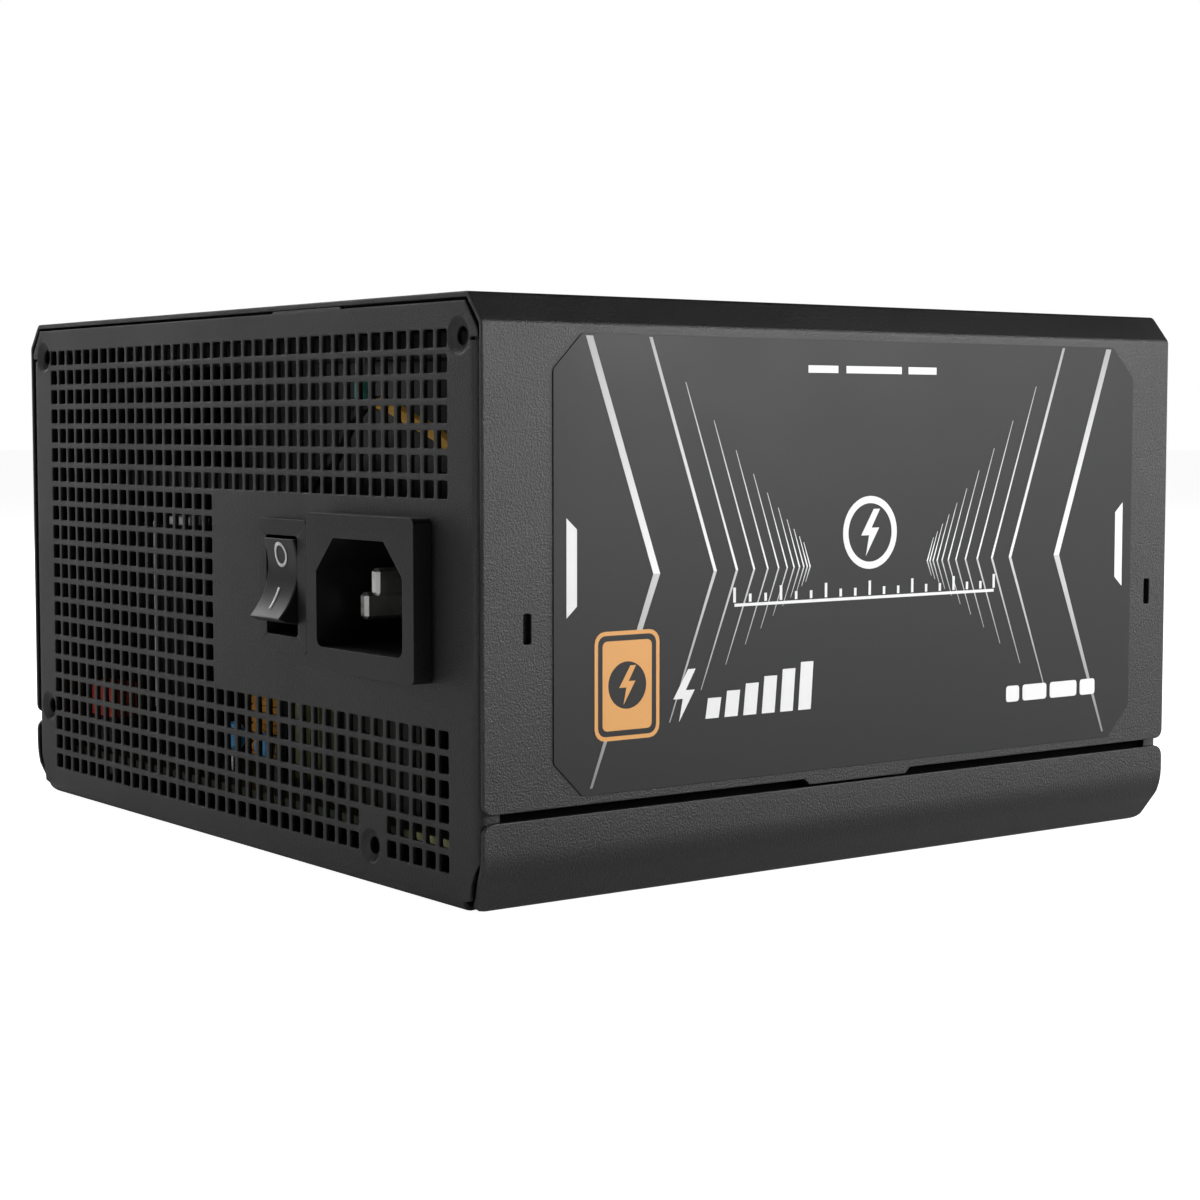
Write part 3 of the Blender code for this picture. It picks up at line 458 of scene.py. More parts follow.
def printed_film(name, colour, roughness=0.5, specular=0.5):
    look = Look(name, {"Specular IOR Level": specular})
    look.bump(look.noise(700, 3), 0.000012)
    return look.done(look.spread(look.noise(9000, 1), scaled(colour, 0.9), colour),
                     look.spread(look.noise(40, 2), roughness - 0.03, roughness + 0.04))


def faded_print(name, colour, film, middle, above, below):
    """Ink that is full at a level and fades with distance above and below it."""
    look = Look(name, {})
    rise = look.math("SUBTRACT", look.axis("Z"), middle)
    up = look.spread(rise, 1.0, 0.12, 0.0, above)
    down = look.spread(rise, 0.62, 0.1, 0.0, -below)
    share = look.math("ADD", look.math("MULTIPLY", up, look.math("GREATER_THAN", rise, 0.0)),
                      look.math("MULTIPLY", down, look.math("LESS_THAN", rise, 0.0)))
    look.bump(look.noise(700, 3), 0.00001)
    return look.done(look.spread(share, film, colour, 0.0, 1.0), 0.4)


def metal(name, colour, roughness, brushed=None):
    look = Look(name, {"Metallic": 1.0})
    grain = look.noise(900, 3, 0.6, brushed)
    look.bump(grain, 0.000012)
    return look.done(look.spread(look.noise(160, 3), scaled(colour, 0.82), colour),
                     look.spread(grain, roughness - 0.06, roughness + 0.08))


def speckled(name, dark, light, roughness=0.4, scale=600, coat=0.0, specular=0.5):
    """A coloured part with fine variation: laminate, sleeves, tape, ferrite and wire enamel."""
    look = Look(name, {"Coat Weight": coat, "Specular IOR Level": specular})
    grain = look.noise(scale, 3)
    look.bump(grain, 0.00002)
    return look.done(look.spread(grain, dark, light),
                     look.spread(look.noise(120, 2), roughness - 0.05, roughness + 0.06))


def sleeved_lead(name, colour, sleeve, end):
    """A coloured lead that runs in a black heat-shrink sleeve up to a place along X."""
    look = Look(name, {})
    grain = look.noise(700, 2)
    look.bump(grain, 0.00002)
    bare = look.math("GREATER_THAN", look.axis("X"), end)
    return look.done(look.spread(bare, sleeve, colour, 0.0, 1.0), look.spread(grain, 0.34, 0.46))


BRUSHED_LENGTHWISE = (1, 1, 0.08)
PAINT = wrinkle_paint("black_powder_coat", 0.0058, 0.00015)
PLASTIC = moulded_plastic("black_plastic", 0.006, 0.42, 0.00005)
GLOSSY = moulded_plastic("glossy_black_plastic", 0.006, 0.42, 0.00001)
FAN_PLASTIC = moulded_plastic("fan_plastic", 0.008, 0.4)
FILM = printed_film("label_film", (0.0085, 0.0087, 0.0095), specular=0.36)
WHITE_INK = printed_film("white_ink", (0.8,) * 3, 0.42)
ORANGE_INK = printed_film("orange_ink", (0.72, 0.35, 0.1), 0.42)
STEEL = metal("bright_steel", (0.62, 0.62, 0.63), 0.28)
BLACK_STEEL = metal("blackened_steel", (0.05, 0.05, 0.052), 0.36)
CONTACT = metal("tinned_contact", (0.95, 0.95, 0.93), 0.36)
ALUMINIUM = metal("milled_aluminium", (0.7, 0.71, 0.72), 0.34, BRUSHED_LENGTHWISE)
# very pale rough metal for the heatsink's edge strips: painted highlight of its edges catching light
HEATSINK_EDGE_HIGHLIGHT = metal("heatsink_edge_painted_highlight", (0.95, 0.95, 0.94), 0.8)
LAMINATE = speckled("board_laminate", (0.02, 0.03, 0.012), (0.035, 0.045, 0.018), 0.45, 400)
INSULATION = speckled("insulating_film", (0.008, 0.008, 0.008), (0.014, 0.014, 0.013), 0.5, 300)
SLEEVE = speckled("capacitor_sleeve", (0.006, 0.006, 0.007), (0.012, 0.012, 0.014), 0.3, 500, coat=0.3)
# a yellow case darkened to near black: painted shade of the inside of the case
SHADED_YELLOW_CASE = speckled("film_capacitor_case", (0.012, 0.011, 0.008), (0.02, 0.018, 0.012), 0.45)
TAPE = speckled("transformer_tape", (0.75, 0.33, 0.05), (0.9, 0.45, 0.08), 0.35)
COPPER = speckled("enamelled_copper", (0.2, 0.06, 0.015), (0.3, 0.1, 0.03), 0.25, coat=0.5)
OLIVE = speckled("olive_winding", (0.1, 0.1, 0.03), (0.17, 0.17, 0.05), 0.35, coat=0.3)
FERRITE = speckled("magnet_ferrite", (0.012, 0.012, 0.013), (0.025, 0.025, 0.026), 0.6)
BLUE_DIP = speckled("blue_dipped_ceramic", (0.05, 0.3, 0.65), (0.08, 0.42, 0.8), 0.35, coat=0.3)
RED_CASE = speckled("red_film_capacitor", (0.45, 0.045, 0.03), (0.6, 0.07, 0.05), 0.35)
TEAL = speckled("teal_nylon", (0.1, 0.45, 0.42), (0.14, 0.55, 0.5))
IVORY = speckled("ivory_nylon", (0.85, 0.85, 0.8), (0.92, 0.92, 0.88))
BOARD_EDGE = speckled("board_edge", (0.3, 0.3, 0.14), (0.42, 0.42, 0.22), 0.5)
# near-black metal for the heatsink's faces: painted shade of the faces inside the case
HEATSINK_SHADE_METAL = metal("heatsink_painted_shade", (0.02, 0.02, 0.021), 0.4, BRUSHED_LENGTHWISE)
# near-black with almost no gloss: painted shade for the strips behind the seams
SEAM_SHADE_FILM = speckled("matt_black_film", (0.0008,) * 3, (0.0016,) * 3, 0.9, specular=0.05)
BROWN_LEAD = speckled("brown_lead_sleeve", (0.03, 0.012, 0.006), (0.05, 0.02, 0.01))
BLUE_LEAD = speckled("blue_lead_sleeve", (0.01, 0.03, 0.12), (0.02, 0.05, 0.2))
GREEN_LEAD = speckled("green_lead_sleeve", (0.02, 0.08, 0.02), (0.04, 0.14, 0.03))
FAN_LEAD = sleeved_lead("fan_lead_sleeve", (0.9, 0.5, 0.1), (0.008, 0.008, 0.009), 0.0365)

# The looks of each slot; the first is also the look of the CAD nodes that stay as they are
LOOKS = {
    "case_paint": (PAINT,),
    "label_film": (FILM, WHITE_INK, ORANGE_INK),
    "black_plastic": (PLASTIC, GLOSSY, FAN_PLASTIC, TEAL, IVORY),
    "steel": (STEEL,),
    "black_steel": (BLACK_STEEL,),
    "contact_metal": (CONTACT,),
    "aluminium": (ALUMINIUM, HEATSINK_EDGE_HIGHLIGHT, HEATSINK_SHADE_METAL),
    "laminate": (LAMINATE, BOARD_EDGE),
    "insulating_film": (INSULATION, SEAM_SHADE_FILM),
    "capacitor_sleeve": (SLEEVE,),
    "film_capacitor": (SHADED_YELLOW_CASE, BLUE_DIP, RED_CASE),
    "ferrite": (FERRITE,),
    "winding_tape": (TAPE,),
    "copper_winding": (COPPER,),
    "olive_winding": (OLIVE,),
    "brown_lead": (BROWN_LEAD,),
    "blue_lead": (BLUE_LEAD,),
    "green_lead": (GREEN_LEAD,),
    "yellow_lead": (FAN_LEAD,),
}
SLOT_OF = {look: slot for slot, looks in LOOKS.items() for look in looks}


# ---- folded case

RIM = 0.2                                 # radius of the painted edges
RIM_STEPS = ((0.71, 0.29), (1.0, 1.0))    # outwards and downwards, in rim radii


def inset(loop, amount):
    """The loop moved towards its inside, or outwards for a negative amount."""
    ahead, behind = loop[1:] + loop[:1], loop[-1:] + loop[:-1]
    size = sum(a[0] * b[1] - b[0] * a[1] for a, b in zip(loop, ahead))
    result = []
    for before, here, after in zip(behind, loop, ahead):
        arriving = (Vector(here) - Vector(before)).normalized()
        leaving = (Vector(after) - Vector(here)).normalized()
        across = Vector((-arriving.y - leaving.y, arriving.x + leaving.x)) / (1 + arriving.dot(leaving))
        result.append(tuple(Vector(here) + across * amount * math.copysign(1, size)))
    return result


def blank(outline, holes):
    """The face of a sheet inside its rounded rims."""
    return face_up(curve_mesh([inset(outline, RIM)] + [inset(hole, -RIM) for hole in holes]))


def press(bm, rings):
    """Pressed work: rings of (outline, depth) that lead down from the sheet's face."""
    add_walls(bm, [add_ring(bm, [(a, b, -depth) for a, b in outline]) for outline, depth in rings])


def divide(bm, lines, axis):
    for place in lines:
        for side in (-1, 1):
            point, normal = Vector(), Vector()
            point[axis], normal[axis] = side * place, 1.0
            bmesh.ops.bisect_plane(bm, geom=[*bm.verts, *bm.edges, *bm.faces], dist=0.0005,
                                   plane_co=point, plane_no=normal)


def thicken(bm, thickness):
    """Gives a sheet's face its thickness downwards and closes it with rounded rims."""
    bm.normal_update()
    faces, rims = list(bm.faces), [edge for edge in bm.edges if edge.is_boundary]
    below = {}
    for vert in list(bm.verts):
        normal = sum((face.normal * face.calc_area() for face in vert.link_faces), Vector()).normalized()
        below[vert] = bm.verts.new(vert.co - normal * math.copysign(thickness, normal.z))
    sideways, spans = {}, []
    for edge in rims:
        loop = edge.link_loops[0]
        first, second = loop.vert, loop.link_loop_next.vert
        run = (second.co - first.co).normalized()
        spans.append((first, second))
        for vert in (first, second):
            sideways.setdefault(vert, []).append(Vector((run.y, -run.x, 0)))
    chains = {}
    for vert, (before, after) in sideways.items():
        away = (before + after) * RIM / (1 + before.dot(after))
        steps = [(out, down * RIM) for out, down in RIM_STEPS]
        steps += [(out, thickness - down * RIM) for out, down in RIM_STEPS[::-1]]
        rim = [bm.verts.new(vert.co + away * out - Vector((0, 0, down))) for out, down in steps]
        chains[vert] = [vert, *rim, below[vert]]
    for first, second in spans:
        one, two = chains[first], chains[second]
        for step in range(len(one) - 1):
            bm.faces.new((two[step], one[step], one[step + 1], two[step + 1]))
    for face in faces:
        bm.faces.new([below[vert] for vert in reversed(face.verts)])


DIMPLE = ((2.8, 0.0), (2.6, 0.1), (2.25, 0.36), (1.85, 0.56), (1.3 + RIM, 0.62))    # radii and depths


def grille_holes():
    """Centres of the rear panel's square holes, as (x, z)."""
    for column in range(HOLE_COLUMNS):
        for row in range(HOLE_ROWS):
            in_patch = column >= PATCH_COLUMN and row in PATCH_ROWS
            at_screw = column in SCREW_PLACE[0] and row in SCREW_PLACE[1]
            if not in_patch and not at_screw:
                yield HOLE_LEFT + column * HOLE_PITCH, HOLE_TOP - row * HOLE_PITCH


def build_chassis():
    """Bottom, skirts and end panels: one blank with all its holes, folded up."""
    run, drop = BOTTOM_CHAMFER
    skirt = Fold([(0, 0), (HALF_WIDTH - run, 0), (HALF_WIDTH, drop), (HALF_WIDTH, SKIRT_TOP)], SKIRT_FOLDS)
    panel = Fold([(0, 0), (HALF_DEPTH, 0), (HALF_DEPTH, HEIGHT)], [PANEL_FOLD])
    flange_depth = 13.0
    flange = Fold([(0, 0), (PANEL_HALF, 0), (PANEL_HALF, -flange_depth)], [FLANGE_FOLD])
    fold_start, flange_start = panel.spans[1][0], flange.spans[1][0]
    foot = panel.length - HEIGHT                 # distance along the blank that stands for z 0
    slit, slit_width = 79.3, 0.4
    seam_flange = flange.length - flange_depth + 3.5
    skirt_end, corner = HALF_DEPTH, 1.8

    def end_run():
        """From the panel's top corner down its side, round the corner notch and along the skirt's end."""
        side = [(PANEL_HALF - 3.1, PANEL_TOP), (PANEL_HALF, PANEL_TOP - 4.1),
                (PANEL_HALF, slit + slit_width), (flange_start - 0.3, slit + slit_width),
                (flange_start - 0.3, slit), (flange.length - 2, slit), (flange.length, slit - 2),
                (flange.length, 26), (seam_flange, 16), (seam_flange, 7.4), (PANEL_HALF - 0.2, 7.4),
                (flange_start, 5.6), (71.6, 4.2), (71.2, 1.9), (69.6, 1.5)]
        run = [(across, foot + z) for across, z in side]
        run += arc((PANEL_FOOT + 0.8, 66.6), 0.8, 180, 360, 6)
        run += [(70.9, 68.2), (71.5, 69.0), (76.5, skirt_end)]
        return run + arc((skirt.length - corner, skirt_end - corner), corner, 90, 0, 4)

    tab = [(37.5, 0.0), (37.0, 0.35), (17.0, 0.35), (16.5, 0.0)]
    front, rear = end_run(), [(across, -out) for across, out in end_run()]
    outline = front + rear[::-1] + [(x, -foot - PANEL_TOP - rise) for x, rise in tab]
    outline += [(-x, y) for x, y in rear] + [(-x, y) for x, y in front[::-1]]

    holes = [pad((x, -foot - z), HOLE, HOLE, HOLE_CORNER) for x, z in grille_holes()]
    holes += [inset(circle((x, -foot - z), DIMPLE[0][0]), RIM) for x, z in MOUNT_HOLES]
    for node, (width, height) in (("ac_inlet", INLET_BODY), ("switch_housing", SWITCH_BODY)):
        middle = corners_of(node)[2]
        holes.append(pad((middle.x, -foot - middle.z), width + 0.6, height + 0.6, 0.5))
    for name in SOCKETS:
        low, high, middle = corners_of(name)
        holes.append(pad((middle.x, foot + middle.z), high.x - low.x + 0.5, high.z - low.z + 0.5, 0.6))

    bm = blank(outline, holes)
    for x, z in MOUNT_HOLES:
        press(bm, [(circle((x, -foot - z), radius), depth) for radius, depth in DIMPLE])
    face_up(closed(bm))
    divide(bm, skirt.creases() + flange.creases(), 0)
    divide(bm, panel.creases(), 1)
    thicken(bm, SHEET)

    for vert in bm.verts:
        across, along, out = vert.co
        side, end = math.copysign(1, across), math.copysign(1, along)
        across, along = abs(across), abs(along)
        on_skirt = along < skirt_end + 0.5 and across > PANEL_FOOT + 2
        if along <= fold_start or on_skirt:
            place, heading = skirt.at(across)
            place += out * Vector((math.sin(heading), -math.cos(heading)))
            vert.co = (side * place.x, end * along, place.y)
            continue
        place, heading = panel.at(along)
        x, back = across, 0.0
        if across > flange_start and place.y < slit + slit_width / 2:
            bent, angle = flange.at(across)
            bent += out * Vector((-math.sin(angle), math.cos(angle)))
            x, back = bent.x, bent.y
        else:
            place += out * Vector((math.sin(heading), -math.cos(heading)))
        vert.co = (side * x, end * (place.x + back), place.y)
    bmesh.ops.reverse_faces(bm, faces=bm.faces)
    piece("chassis_sheet", bm, PAINT, nodes=["base_chassis"], angle=42)


def build_cover():
    """Top and sides: the second blank, with the tray for the fan guard pressed into its top."""
    run, drop = TOP_CHAMFER
    side = Fold([(0, HEIGHT), (HALF_WIDTH - run, HEIGHT), (HALF_WIDTH, HEIGHT - drop),
                 (HALF_WIDTH, COVER_FOOT)], [COVER_FOLD, COVER_FOLD])
    edge, corner = side.length, 1.5
    tab_low, tab_high, tab_drop = -10.5, 9.5, SEAM - 0.3
    right = [(edge, tab_low - 1), (edge + tab_drop, tab_low), (edge + tab_drop, tab_high),
             (edge, tab_high + 1)]
    right += arc((edge - corner, HALF_DEPTH - corner), corner, 0, 90, 4)
    lower = arc((edge - corner, corner - HALF_DEPTH), corner, 270, 360, 4)
    outline = lower + right + [(-x, y) for x, y in right[::-1]] + [(-x, y) for x, y in lower[::-1]]

    tray_half, tray_corner, tray_depth, soft = 61.6, 8.0, HEIGHT - 82.6, 1.0
    opening = corners_of("fan_frame")[1].x - 2.5

    def tray(grow):
        return pad((0, 0), 2 * (tray_half + grow), 2 * (tray_half + grow), tray_corner + grow, 8)

    screw_places = four(67.0, 64.5)
    dimple = [(3.5, 0.0), (3.35, 0.2), (3.1, 0.8), (2.9, 1.15), (2.0 + RIM, 1.2)]
    pressed = [inset(tray(soft), RIM)] + [inset(circle(place, dimple[0][0]), RIM) for place in screw_places]
    slots = [pad((x * (edge - 39.6 + COVER_FOOT), y), 4.2, 1.3, 0.3) for x in (-1, 1)
             for y in (-62.65, 65.35)]
    bm = blank(outline, pressed + slots)
    for place in screw_places:
        press(bm, [(circle(place, radius), depth) for radius, depth in dimple])
    bend = arc((soft, soft), soft, 270, 180, 5)
    levels = bend + [(-grow, tray_depth - depth) for grow, depth in bend[::-1]]
    press(bm, [(tray(grow), depth) for grow, depth in levels])
    eyes = [circle(place, 2.2, 16) for place in four(FAN_EYE, FAN_EYE)]
    floor = blank(inset(tray(-soft), -RIM), [circle((0, 0), opening, 96)] + eyes)
    face_up(closed(joined(bm, moved(floor, shifted(z=-tray_depth)))))
    divide(bm, side.creases(), 0)
    thicken(bm, SHEET)
    for vert in bm.verts:
        place, heading = side.at(abs(vert.co.x))
        place += vert.co.z * Vector((-math.sin(heading), math.cos(heading)))
        vert.co = (math.copysign(place.x, vert.co.x), vert.co.y, place.y)
    piece("cover_sheet", bm, PAINT, nodes=["top_cover"], angle=42)


# ---- printed film on the sides

LABEL_LOW, LABEL_HIGH, LABEL_MIDDLE = corners_of("label_right")
FILM_FACE = HALF_WIDTH + 0.18
FILM_GAP = 0.02                      # between the film and the cover
INK = 0.02                           # thickness of the print
BACKING, ON_FILM, ON_BACKING = 0.004, 0.01, 0.02     # levels of print above the film's face
APEX = 46.5                          # level of the chevrons' points


def printed(name, loops, look, place, level=0.0):
    """Flat printed shapes, each loop a shape of its own, lying on the film."""
    bm = bmesh.new()
    for loop in loops:
        face = bm.faces.new(add_ring(bm, [(a, b, FILM_FACE + level) for a, b in loop]))
        pushed = bmesh.ops.extrude_face_region(bm, geom=[face])["geom"]
        top = [part for part in pushed if isinstance(part, bmesh.types.BMVert)]
        bmesh.ops.translate(bm, vec=(0, 0, INK), verts=top)
    piece(name, moved(faced_out(bm), place), look)


def printed_ring(name, loops, look, place, level=0.0):
    """One printed shape with a hole."""
    bm = moved(curve_mesh(loops, INK), shifted(z=FILM_FACE + level + INK / 2))
    piece(name, moved(faced_out(bm), place), look)


def chevrons():
    """Arms of nested chevrons that point at the middle, each smaller and nearer to it than the last."""
    arms = []
    reach_up, reach_down = LABEL_HIGH.z - APEX - 0.3, APEX - LABEL_LOW.z - 1.0
    for number in range(12):
        share = 0.8 ** number * (0.82 if number else 1.0)
        distance = 10.0 + 31.5 * share
        width = 0.26 + 0.97 * share ** 2.6
        up = reach_up * min(1.0, 1.55 * share)
        down = reach_down * min(1.0, 1.1 * share)
        for side in (-1, 1):
            for reach, lean in ((up, 0.355), (-down, 0.39)):
                tip = width * (1.0 if abs(reach) > 0.95 * reach_up else 0.35)
                apex, end, level = side * distance, side * (distance + lean * abs(reach)), APEX + reach
                arms.append([(apex - width / 2, APEX), (apex + width / 2, APEX),
                             (end + tip / 2, level), (end - tip / 2, level)])
    return arms


def bolt(centre, height):
    """A plain lightning bolt."""
    x, z = centre
    shape = ((0.1, 0.5), (-0.26, -0.06), (-0.03, -0.06), (-0.12, -0.5), (0.26, 0.1), (0.04, 0.1),
             (0.28, 0.5))
    return [(x + a * height, z + b * height) for a, b in shape]


def build_label(side, place):
    """The film with its chevrons, emblem, rating blocks and badge, as on both sides of the case."""
    name = f"label_{side}_film"
    place = shifted(y=LABEL_MIDDLE.y) @ place
    low, high, cut = LABEL_LOW.y - LABEL_MIDDLE.y, LABEL_HIGH.y - LABEL_MIDDLE.y, 5.0
    z_low, z_high = LABEL_LOW.z, LABEL_HIGH.z
    outline = [(low + cut, z_low), (high - cut, z_low), (high, z_low + cut), (high, z_high - cut),
               (high - cut, z_high), (low + cut, z_high), (low, z_high - cut), (low, z_low + cut)]
    film = curve_mesh([rounded(outline, 0.8)], FILM_FACE - HALF_WIDTH - FILM_GAP, 0.04)
    moved(film, shifted(z=(HALF_WIDTH + FILM_GAP + FILM_FACE) / 2))
    piece(name, moved(faced_out(film), place), FILM, nodes=[f"label_{side}"])

    def ink(part, loops, look=WHITE_INK, level=ON_FILM, shape=printed):
        shape(f"{name}_{part}", loops, look, place, level)

    fade = faded_print(f"{name}_fade", (0.85, 0.85, 0.85), (0.03, 0.03, 0.032), APEX * MM, 0.045, 0.04)
    SLOT_OF[fade] = "label_film"
    ink("chevrons", chevrons(), fade, 0.0)
    marker_level, markers = 47.8, []
    for end in (-1, 1):
        outer, inner = end * (high - 2.2), end * (high - 4.0)
        markers.append([(outer, marker_level - 7), (inner, marker_level - 5.4), (inner, marker_level + 5.4),
                        (outer, marker_level + 7)])
    ink("markers", markers, level=0.0)

    emblem = (0.0, 51.3)
    ink("emblem_ring", [circle(emblem, 5.6, 48), circle(emblem, 4.5, 48)], shape=printed_ring)
    ink("emblem_bolt", [bolt(emblem, 7.2)])
    ticks = [rectangle((0.0, 41.3), 54.0, 0.45)]
    for number in range(-9, 10):
        height = 1.2 if number % 3 else 2.2
        ticks.append(rectangle((number * 3.0, 41.7 + height / 2), 0.5, height))
    ink("scale", ticks)
    ink("title", [rectangle((x, 76.1), width, 1.1) for x, width in ((-9.8, 6.0), (0.6, 11.5), (10.8, 6.0))])

    left, foot = low + 20.4, 24.9
    blocks = []
    for number in range(6):
        x, top = left + 6.8 + number * 3.6, foot + 3.0 + 0.85 * number
        blocks.append([(x, foot), (x + 2.5, foot), (x + 3.0, top), (x + 0.5, top)])
    ink("rating", blocks + [bolt((left + 2.8, 28.6), 7.6)])
    dashes = ((1.5, 3.0), (6.6, 5.6), (13.4, 6.4), (19.2, 3.6))
    ink("code", [pad((high - 29.5 + x, 24.3), width, 2.6, 0.5) for x, width in dashes])

    badge = (low + 12.85, 30.8)

    def plate(margin, radius):
        return pad(badge, 11.6 - 2 * margin, 15.6 - 2 * margin, radius, 4)

    ink("badge_frame", [plate(0.0, 1.8), plate(0.6, 1.3)], ORANGE_INK, ON_BACKING, printed_ring)
    ink("badge_field", [plate(1.4, 0.8), circle(badge, 3.4, 32)], ORANGE_INK, ON_BACKING, printed_ring)
    ink("badge_bolt", [bolt(badge, 5.6)], ORANGE_INK, ON_BACKING)
    ink("badge_backing", [plate(0.3, 1.5)], FILM, BACKING)


# ---- mains inlet and switch

INLET_BODY = (26.8, 19.8)
SWITCH_BODY = (12.4, 18.8)
ROCKER_TIP = 6.22                    # half the rocker's height, and its tips' distance from the pivot
ROCKER_REST = -12                    # degrees


def fitting(name, node, flange_radius, body, mouth, floor, edge, steps):
    """A moulded body with a flange on the rear panel and a mouth that is drawn from the middle."""
    low, high, (x, _, z) = corners_of(node)
    flange = pad((x, z), high.x - low.x, high.z - low.z, flange_radius, 4)
    body = pad((x, z), *body, flange_radius - 0.3, 4)
    behind = HALF_DEPTH + BACK_GAP
    bm = block([(flange, -low.y), (flange, behind), (body, behind), (body, -high.y)],
               [([(x + a, z + b) for a, b in mouth], floor)])
    piece(name, moved(bm, TO_REAR), PLASTIC, nodes=[node], edge=edge, angle=35, steps=steps)


def build_inlet():
    """The mains inlet; its mouth has two cut corners."""
    half, tall, cut = 12.0, 8.15, 5.0
    shape = ((-half, -tall), (half, -tall), (half, tall - cut), (half - cut, tall), (cut - half, tall),
             (-half, tall - cut))
    mouth = rounded(shape, [1.4, 1.4, 0.5, 0.5, 0.5, 0.5], 4)
    fitting("inlet_block", "ac_inlet", 0.9, INLET_BODY, mouth, 58.0, 0.35, 3)


def rocker_face(z):
    """Where the rocker's hollow face is at a height from its pivot."""
    return -ROCKER_TIP + 1.9 * (1 - (z / ROCKER_TIP) ** 2)


def build_switch():
    """The switch's body, and the rocker with its two marks."""
    mouth = pad((0, 0), 9.7, 15.4, 0.6, 4)
    fitting("switch_bezel", "switch_housing", 0.8, SWITCH_BODY, mouth, 57.5, 0.18, 2)
    pivot = next(joint for joint in frame["joints"] if joint["name"] == "power_switch")
    place = shifted(*(Vector(pivot["pos_m"]) / MM)) @ turned(ROCKER_REST, "X")
    width, tip = 9.3, ROCKER_TIP
    face = [(rocker_face(tip * (step / 12 - 1)), tip * (step / 12 - 1)) for step in range(25)]
    outline = face + [(-4.6, tip + 0.25), (1.5, tip), (4.0, 2.5), (4.0, -2.5), (1.5, -tip),
                      (-4.6, -tip - 0.25)]
    bm = bmesh.new()
    rings = [add_ring(bm, [(across, a, b) for a, b in outline]) for across in (-width / 2, width / 2)]
    add_walls(bm, rings)
    for ring in rings:
        bm.faces.new(ring)
    closed(bm)
    piece("rocker", moved(bm, place), GLOSSY, "rocker", ["switch_rocker"], edge=0.3, angle=30, steps=3)

    def on_face(name, loops):
        bm = curve_mesh(loops)
        bmesh.ops.triangulate(bm, faces=bm.faces)
        for vert in bm.verts:
            vert.co = (vert.co.x, rocker_face(vert.co.y) - 0.03, vert.co.y)
        piece(name, moved(bm, place), WHITE_INK, "rocker", thickness=-0.05, slot="black_plastic")

    on_face("rocker_mark_off", [circle((0, 3.9), 1.85, 32), circle((0, 3.9), 1.35, 32)])
    on_face("rocker_mark_on", [[(-0.3, -4.6 + 0.35 * step) for step in range(11)]
                               + [(0.3, -1.1 - 0.35 * step) for step in range(11)]])


# ---- fan and its guard

def build_guard():
    """Round wire rings welded to four diagonal legs that end in eyes round the fan screws."""
    low, high, _ = corners_of("fan_guard")
    leg, wire = 0.8, 0.65
    leg_level, ring_level = low.z + leg, high.z - wire
    outermost, innermost, rings = FAN_BORE, 8.0, 9
    eye_place = FAN_EYE * math.sqrt(2)
    eye = 3.2
    parts = []
    for ring in range(rings):
        radius = innermost + (outermost - innermost) * ring / (rings - 1)
        parts.append(tube([(x, y, ring_level) for x, y in circle((0, 0), radius, 96)], wire, cyclic=True))
    for turn in range(4):
        path = [(radius, 0.0) for radius in (innermost - 0.6, 20.0, 40.0, eye_place - eye - 2.5)]
        path += arc((eye_place, 0.0), eye, 190, 505, 21)
        parts.append(moved(tube([(x, y, leg_level) for x, y in path], leg), turned(45 + 90 * turn)))
    piece("guard_wires", joined(*parts), BLACK_STEEL, nodes=["fan_guard"])


